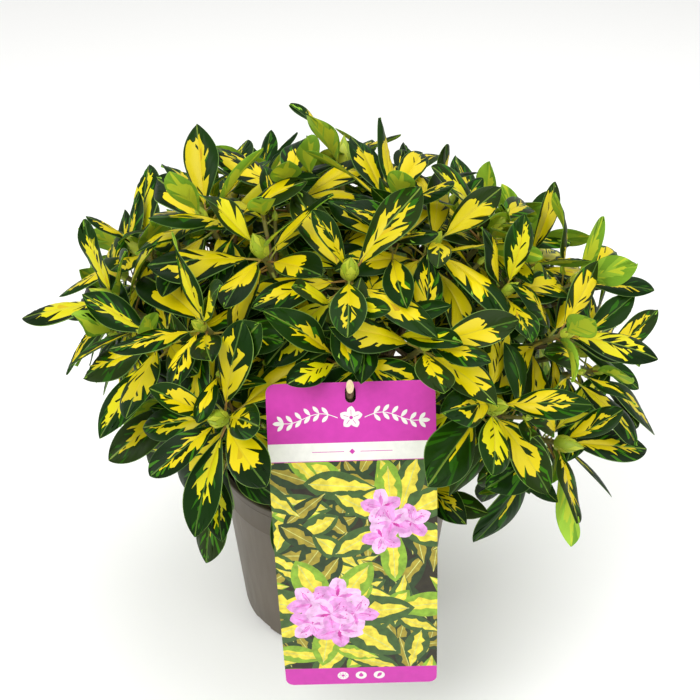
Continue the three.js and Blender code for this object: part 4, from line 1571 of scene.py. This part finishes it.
def printed_sprig(side):
    """A leafy sprig that runs out to one side across the card's head."""
    shares = [i / SPRIG_STEPS for i in range(SPRIG_STEPS + 1)]
    line = [(side * lerp(0.010, 0.050, way), HEAD_MIDDLE[1] + 0.0035 * math.sin(way * 5)) for way in shares]
    leaf, ahead = leaf_outline(0.19), -side * math.pi / 2
    shapes = [ribbon(line, 0.0006)]
    for foot in line[2::2]:
        shapes += [placed(leaf, ahead + up * side * SPRIG_LEAN, 0.0075, foot) for up in (-1, 1)]
    shapes.append(placed(leaf, ahead, 0.0085, line[-1]))
    return [(shape, "paper") for shape in shapes]


def printed_head(card):
    """A small blossom between two sprigs on the head, and a lozenge between two rules on the pale strip."""
    shapes = printed_sprig(-1) + printed_sprig(1)
    for outline, ink in ((petal_outline(0), "paper"), (ribbon([(0, 0.25), (0, 0.7)], 0.05), "border")):
        shapes += [(placed(outline, turn, HEAD_BLOSSOM, HEAD_MIDDLE), ink) for turn in turns_round(5)]
    shapes.append((disc(HEAD_MIDDLE, 0.0014, 10), "border"))
    low = -card.header - card.strip / 2
    shapes.append(([(-0.0022, low), (0, low - 0.0022), (0.0022, low), (0, low + 0.0022)], "border"))
    for side in (-1, 1):
        shapes.append((ribbon([(side * 0.006, low), (side * 0.030, low)], 0.0005), "border"))
    return shapes


def printed_foot(card):
    """Three discs on the foot, with a sun, a drop and a leaf."""
    low = -CARD_LENGTH + card.footer * 0.52
    shapes = []
    for i in (-1, 0, 1):
        middle = (DISCS_APART * i, low)
        shapes.append((disc(middle, DISC, 24), "paper"))
        if i < 0:
            ray = ribbon([(0, 0.0021), (0, 0.0033)], 0.0005)
            marks = [disc(middle, 0.0014, 12), *(placed(ray, turn, 1, middle) for turn in turns_round(8))]
        elif i > 0:
            marks = [placed(leaf_outline(0.24), -0.6, 0.0066, (middle[0] - 0.0018, low - 0.0026))]
        else:
            marks = [placed(drop_outline(0.0019, 0.0034), 0, 1, middle)]
        shapes += [(mark, "border") for mark in marks]
    return shapes


def drop_outline(radius, tall):
    """A drop round the origin, with its point up."""
    turns = [math.radians(degrees) for degrees in range(-200, 21, 20)]
    return [*((radius * math.cos(turn), radius * math.sin(turn)) for turn in turns), (0, tall)]


def printed_picture(card):
    """A thicket of splashed leaves with two whorls of bright ones, each round a cluster of blossoms."""
    shapes = []
    floor, top = -CARD_LENGTH + card.footer, -card.header - card.strip
    columns, lines = STREWN
    for layer in (0, 1):  # all dark below, and mixed above
        for i in range(columns * lines):
            key = 710 + i + 200 * layer
            x = lerp(-STREWN_HALF, STREWN_HALF, (i % columns) / (columns - 1))
            y = lerp(top, floor + 0.006, (i // columns) / (lines - 1))
            foot = [at + between(-STREWN_STRAY, STREWN_STRAY, key, axis) for axis, at in enumerate((x, y), 1)]
            inks = INK_PAIRS[int(3 * chance(key, 3))] if layer else INK_PAIRS[0]
            turn = math.tau * chance(key, 4)
            shapes += printed_leaf(foot, turn, between(*STREWN_LONG, key, 5), inks, key)
    for number, (x, y, reach, leaves, blossoms) in enumerate(CLUSTERS):
        for i in range(leaves):
            turn = math.tau * (i + 0.4 * number) / leaves + between(-0.15, 0.15, 720, number, i)
            inks = INK_PAIRS[1 if i % 3 else 2]
            long = reach * between(0.85, 1.1, 721, number, i)
            shapes += printed_leaf((x, y), turn, long, inks, 730 + 9 * number + i)
        size = reach * 0.29
        for i in range(blossoms):
            turn = math.tau * i / (blossoms - 1)
            out = size * 0.95 if i < blossoms - 1 else 0
            middle = (x + out * math.cos(turn), y + out * math.sin(turn))
            shapes += printed_blossom(middle, size, 11 * number + i)
    return shapes


def card_print(card):
    """The print, in the order that it is laid on: (outline, ink, the lowest and highest place that it shows)."""
    half, bottom = CARD_WIDTH / 2 + OVERPRINT, -CARD_LENGTH
    strip, panel, foot = -card.header, -card.header - card.strip, bottom + card.footer
    bands = (
        (OVERPRINT, strip, "border"),
        (panel, foot, "ground"),
        (panel, panel - BAND_RULE, "border"),
        (foot, bottom - OVERPRINT, "border"),
    )
    shapes = []
    for high, low, band in bands:
        shapes.append(([(-half, high), (half, high), (half, low), (-half, low)], band, bottom - 1, 1))
        if band == "ground":
            shapes += [(outline, ink, foot, panel) for outline, ink in printed_picture(card)]
    return shapes + [(outline, ink, bottom, 0) for outline, ink in printed_head(card) + printed_foot(card)]


def inside(point, outline):
    """Whether a flat point is inside an outline."""
    x, y = point
    crossings = 0
    for (ax, ay), (bx, by) in zip(outline, outline[1:] + outline[:1]):
        if (ay > y) != (by > y) and x < ax + (y - ay) / (by - ay) * (bx - ax):
            crossings += 1
    return crossings % 2 == 1


def boxed(outline, low, high):
    """An outline's box, cut off at the lowest and highest place that it shows."""
    xs, ys = zip(*outline)
    return min(xs), max(xs), max(min(ys), low), min(max(ys), high)


def rims(faces):
    """The loops of corners round the open edges of a sheet of faces."""
    edges = dict.fromkeys(edge for face in faces for edge in zip(face, face[1:] + face[:1]))
    after = {a: b for a, b in edges if (b, a) not in edges}
    loops = []
    while after:
        a, b = after.popitem()
        loop = [a]
        while b != loop[0]:
            loop.append(b)
            b = after.pop(b)
        loops.append(loop)
    return loops


class SHRUB_OT_hang_card(bpy.types.Operator):
    """Make the bent card with its slot and rounded corners, printed on the front"""

    bl_idname = "shrub.hang_card"
    bl_label = "Hang Card"

    def execute(self, context):
        card = context.scene.shrub.card
        middle = (0, -CARD_LENGTH / 2)
        outline = rounded_box(CARD_WIDTH, CARD_LENGTH, CARD_CORNER, middle)
        slot = rounded_box(SLOT_WIDTH, SLOT_LENGTH, SLOT_WIDTH / 2, (0, -SLOT_TOP - SLOT_LENGTH / 2), 6)
        shapes = card_print(card)
        front, kept = self.triangles(outline, slot, [shape for shape, *_ in shapes])
        dealt = self.dealt_inks(card, shapes, [front[list(face)].mean(0) for face in kept])
        loops = rims(kept)
        edges = [front[loop].tolist() for loop in sorted(loops, key=len, reverse=True)]
        back, behind = self.triangles(*edges, [])
        total = len(front)
        match = {tuple(np.round(place, 6)): i for i, place in enumerate(back)}
        points = np.concatenate([on_card(front, card.thickness / 2), on_card(back, -card.thickness / 2)])
        faces = [*kept, *(tuple(corner + total for corner in reversed(face)) for face in behind)]
        for loop in loops:
            for a, b in zip(loop, loop[1:] + loop[:1]):
                c, d = (match[tuple(np.round(front[corner], 6))] + total for corner in (a, b))
                faces.append((b, a, c, d))
        dealt += [0] * (len(faces) - len(kept))
        piece = piece_from("printed_card", points.tolist(), faces, self.inks(card), dealt)
        edit(piece)
        bpy.ops.mesh.delete_loose()
        bpy.ops.mesh.select_all(action="SELECT")
        bpy.ops.mesh.normals_make_consistent(inside=False)
        bpy.ops.object.mode_set(mode="OBJECT")
        settle(piece, 30, "card", "hanging_card")
        return {"FINISHED"}

    def dealt_inks(self, card, shapes, places):
        """For each place, the ink of the last shape that is laid on it, as its number in the list of inks."""
        boxes = [(boxed(shape, low, high), shape, ink) for shape, ink, low, high in reversed(shapes)]
        inks = list(self.colours(card))
        dealt = []
        for x, y in places:
            laid = (
                ink
                for (west, east, south, north), shape, ink in boxes
                if west <= x <= east and south <= y <= north and inside((x, y), shape)
            )
            dealt.append(inks.index(next(laid, "paper")))
        return dealt

    def triangles(self, outline, slot, shapes):
        """Flat triangles between the card's outline and its slot that follow every shape and every bend."""
        points, edges = [], []
        for loop in [outline, slot, *shapes]:
            start = len(points)
            points += [Vector(point) for point in loop]
            edges += [(start + i, start + (i + 1) % len(loop)) for i in range(len(loop))]
        for i in range(1, CARD_BENDS):
            start = len(points)
            y = -CARD_LENGTH * i / CARD_BENDS
            points += [Vector((-CARD_WIDTH, y)), Vector((CARD_WIDTH, y))]
            edges.append((start, start + 1))
        flat, _, faces, *_ = geometry.delaunay_2d_cdt(points, edges, [], 0, 2e-6)
        flat = np.array([tuple(point) for point in flat])
        kept = []
        for face in faces:
            middle = flat[list(face)].mean(0)
            if inside(middle, outline) and not inside(middle, slot):
                kept.append(tuple(face))
        return flat, kept

    def colours(self, card):
        return {
            "paper": card.paper,
            "border": card.border,
            "ground": card.ground,
            "dark_leaf": screen(38, 58, 28),
            "leaf": screen(60, 88, 40),
            "lime_leaf": screen(124, 160, 44),
            "splash": screen(214, 198, 62),
            "dull_splash": screen(150, 136, 44),
            "rib": screen(190, 194, 110),
            "blush": screen(222, 174, 216),
            "petal": screen(208, 142, 200),
            "blossom": card.blossom,
            "throat": screen(184, 52, 146),
        }

    def inks(self, card):
        made = []
        for name, tone in self.colours(card).items():
            ink = finish_of("ink_" + name, tone, 0.42, Specular_IOR_Level=0.3, Coat_Weight=0.06)
            mottle = speckle(ink, object_place(ink), 0.006, detail=4.0)
            depth = 0.04 if name in ("paper", "border") else 0.22
            tones = ((0.35, scaled(tone, 1 - depth)), (0.65, scaled(tone, 1 + depth)))
            feed(ink, "Base Color", blended(ink, mottle, *tones))
            made.append(ink)
        return made


# ---------------------------------------------------------------- stage


LIGHTS = (  # name, place, which power of the stage's, and width
    ("key_light", (-1.0, -1.5, 2.1), "key", 1.6),
    ("fill_light", (1.6, -1.1, 1.3), "fill", 1.6),
    ("top_light", (0.2, 0.7, 2.4), "fill", 1.8),
)
CROWN_MIDDLE = Vector((0, 0, 0.28))


class SHRUB_OT_set_stage(bpy.types.Operator):
    """Set the pale floor, the soft lights and the camera"""

    bl_idname = "shrub.set_stage"
    bl_label = "Set Stage"

    def execute(self, context):
        sizes = context.scene.shrub.stage
        choose()
        bpy.ops.mesh.primitive_circle_add(vertices=96, radius=14, fill_type="NGON", location=(0, 0, -0.0002))
        floor = named("floor")
        wear(floor, finish_of("pale_floor", sizes.floor, 0.9))
        for name, place, power, width in LIGHTS:
            self.light(name, place, getattr(sizes, power), width)
        world = bpy.data.worlds.new("pale_surround")
        context.scene.world = world
        world.use_nodes = True
        background = world.node_tree.nodes["Background"]
        background.inputs["Color"].default_value = (1, 1, 1, 1)
        background.inputs["Strength"].default_value = sizes.sky
        lens = bpy.data.cameras.new("camera")
        lens.sensor_width = 36
        lens.lens = sizes.lens
        camera = bpy.data.objects.new("camera", lens)
        camera.location = (sizes.aside, -sizes.back, sizes.up)
        camera.rotation_euler = (math.pi / 2 - sizes.tilt, 0, 0)
        context.scene.collection.objects.link(camera)
        context.scene.camera = camera
        context.scene.view_settings.view_transform = "Standard"
        return {"FINISHED"}

    def light(self, name, place, power, width):
        """A square soft light that looks at the crown."""
        lamp = bpy.data.lights.new(name, "AREA")
        lamp.energy = power
        lamp.size = width
        light = bpy.data.objects.new(name, lamp)
        light.location = place
        light.rotation_euler = (CROWN_MIDDLE - light.location).to_track_quat("-Z", "Y").to_euler()
        bpy.context.scene.collection.objects.link(light)


# ---------------------------------------------------------------- panel and registration

STEPS = (
    SHRUB_OT_set_stage,
    SHRUB_OT_make_pot,
    SHRUB_OT_make_soil,
    SHRUB_OT_grow_limbs,
    SHRUB_OT_make_stub,
    SHRUB_OT_hang_card,
    SHRUB_OT_grow_twigs,
    SHRUB_OT_grow_buds,
    SHRUB_OT_grow_leaves,
)


class SHRUB_PT_panel(bpy.types.Panel):
    """Makes the shrub piece by piece"""

    bl_label = "Potted Rhododendron"
    bl_idname = "SHRUB_PT_panel"
    bl_space_type = "VIEW_3D"
    bl_region_type = "UI"
    bl_category = "Rhododendron"

    def draw(self, context):
        for step in STEPS:
            self.layout.operator(step.bl_idname)
        for group in ("pot", "soil", "bark", "leaf", "card", "stage"):
            sizes = getattr(context.scene.shrub, group)
            box = self.layout.box()
            box.label(text=group.title())
            for name in sizes.bl_rna.properties.keys()[2:]:
                box.prop(sizes, name)


CLASSES = (
    PotSizes, SoilSizes, BarkSizes, LeafSizes, CardSizes, StageSizes, ShrubSizes, *STEPS, SHRUB_PT_panel,
)


def register():
    for cls in CLASSES:
        bpy.utils.register_class(cls)
    bpy.types.Scene.shrub = PointerProperty(type=ShrubSizes)


def unregister():
    del bpy.types.Scene.shrub
    for cls in reversed(CLASSES):
        bpy.utils.unregister_class(cls)


def main():
    """Makes every piece in order."""
    register()
    for step in STEPS:
        group, name = step.bl_idname.split(".")
        getattr(getattr(bpy.ops, group), name)()
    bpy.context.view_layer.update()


if __name__ == "__main__":
    main()
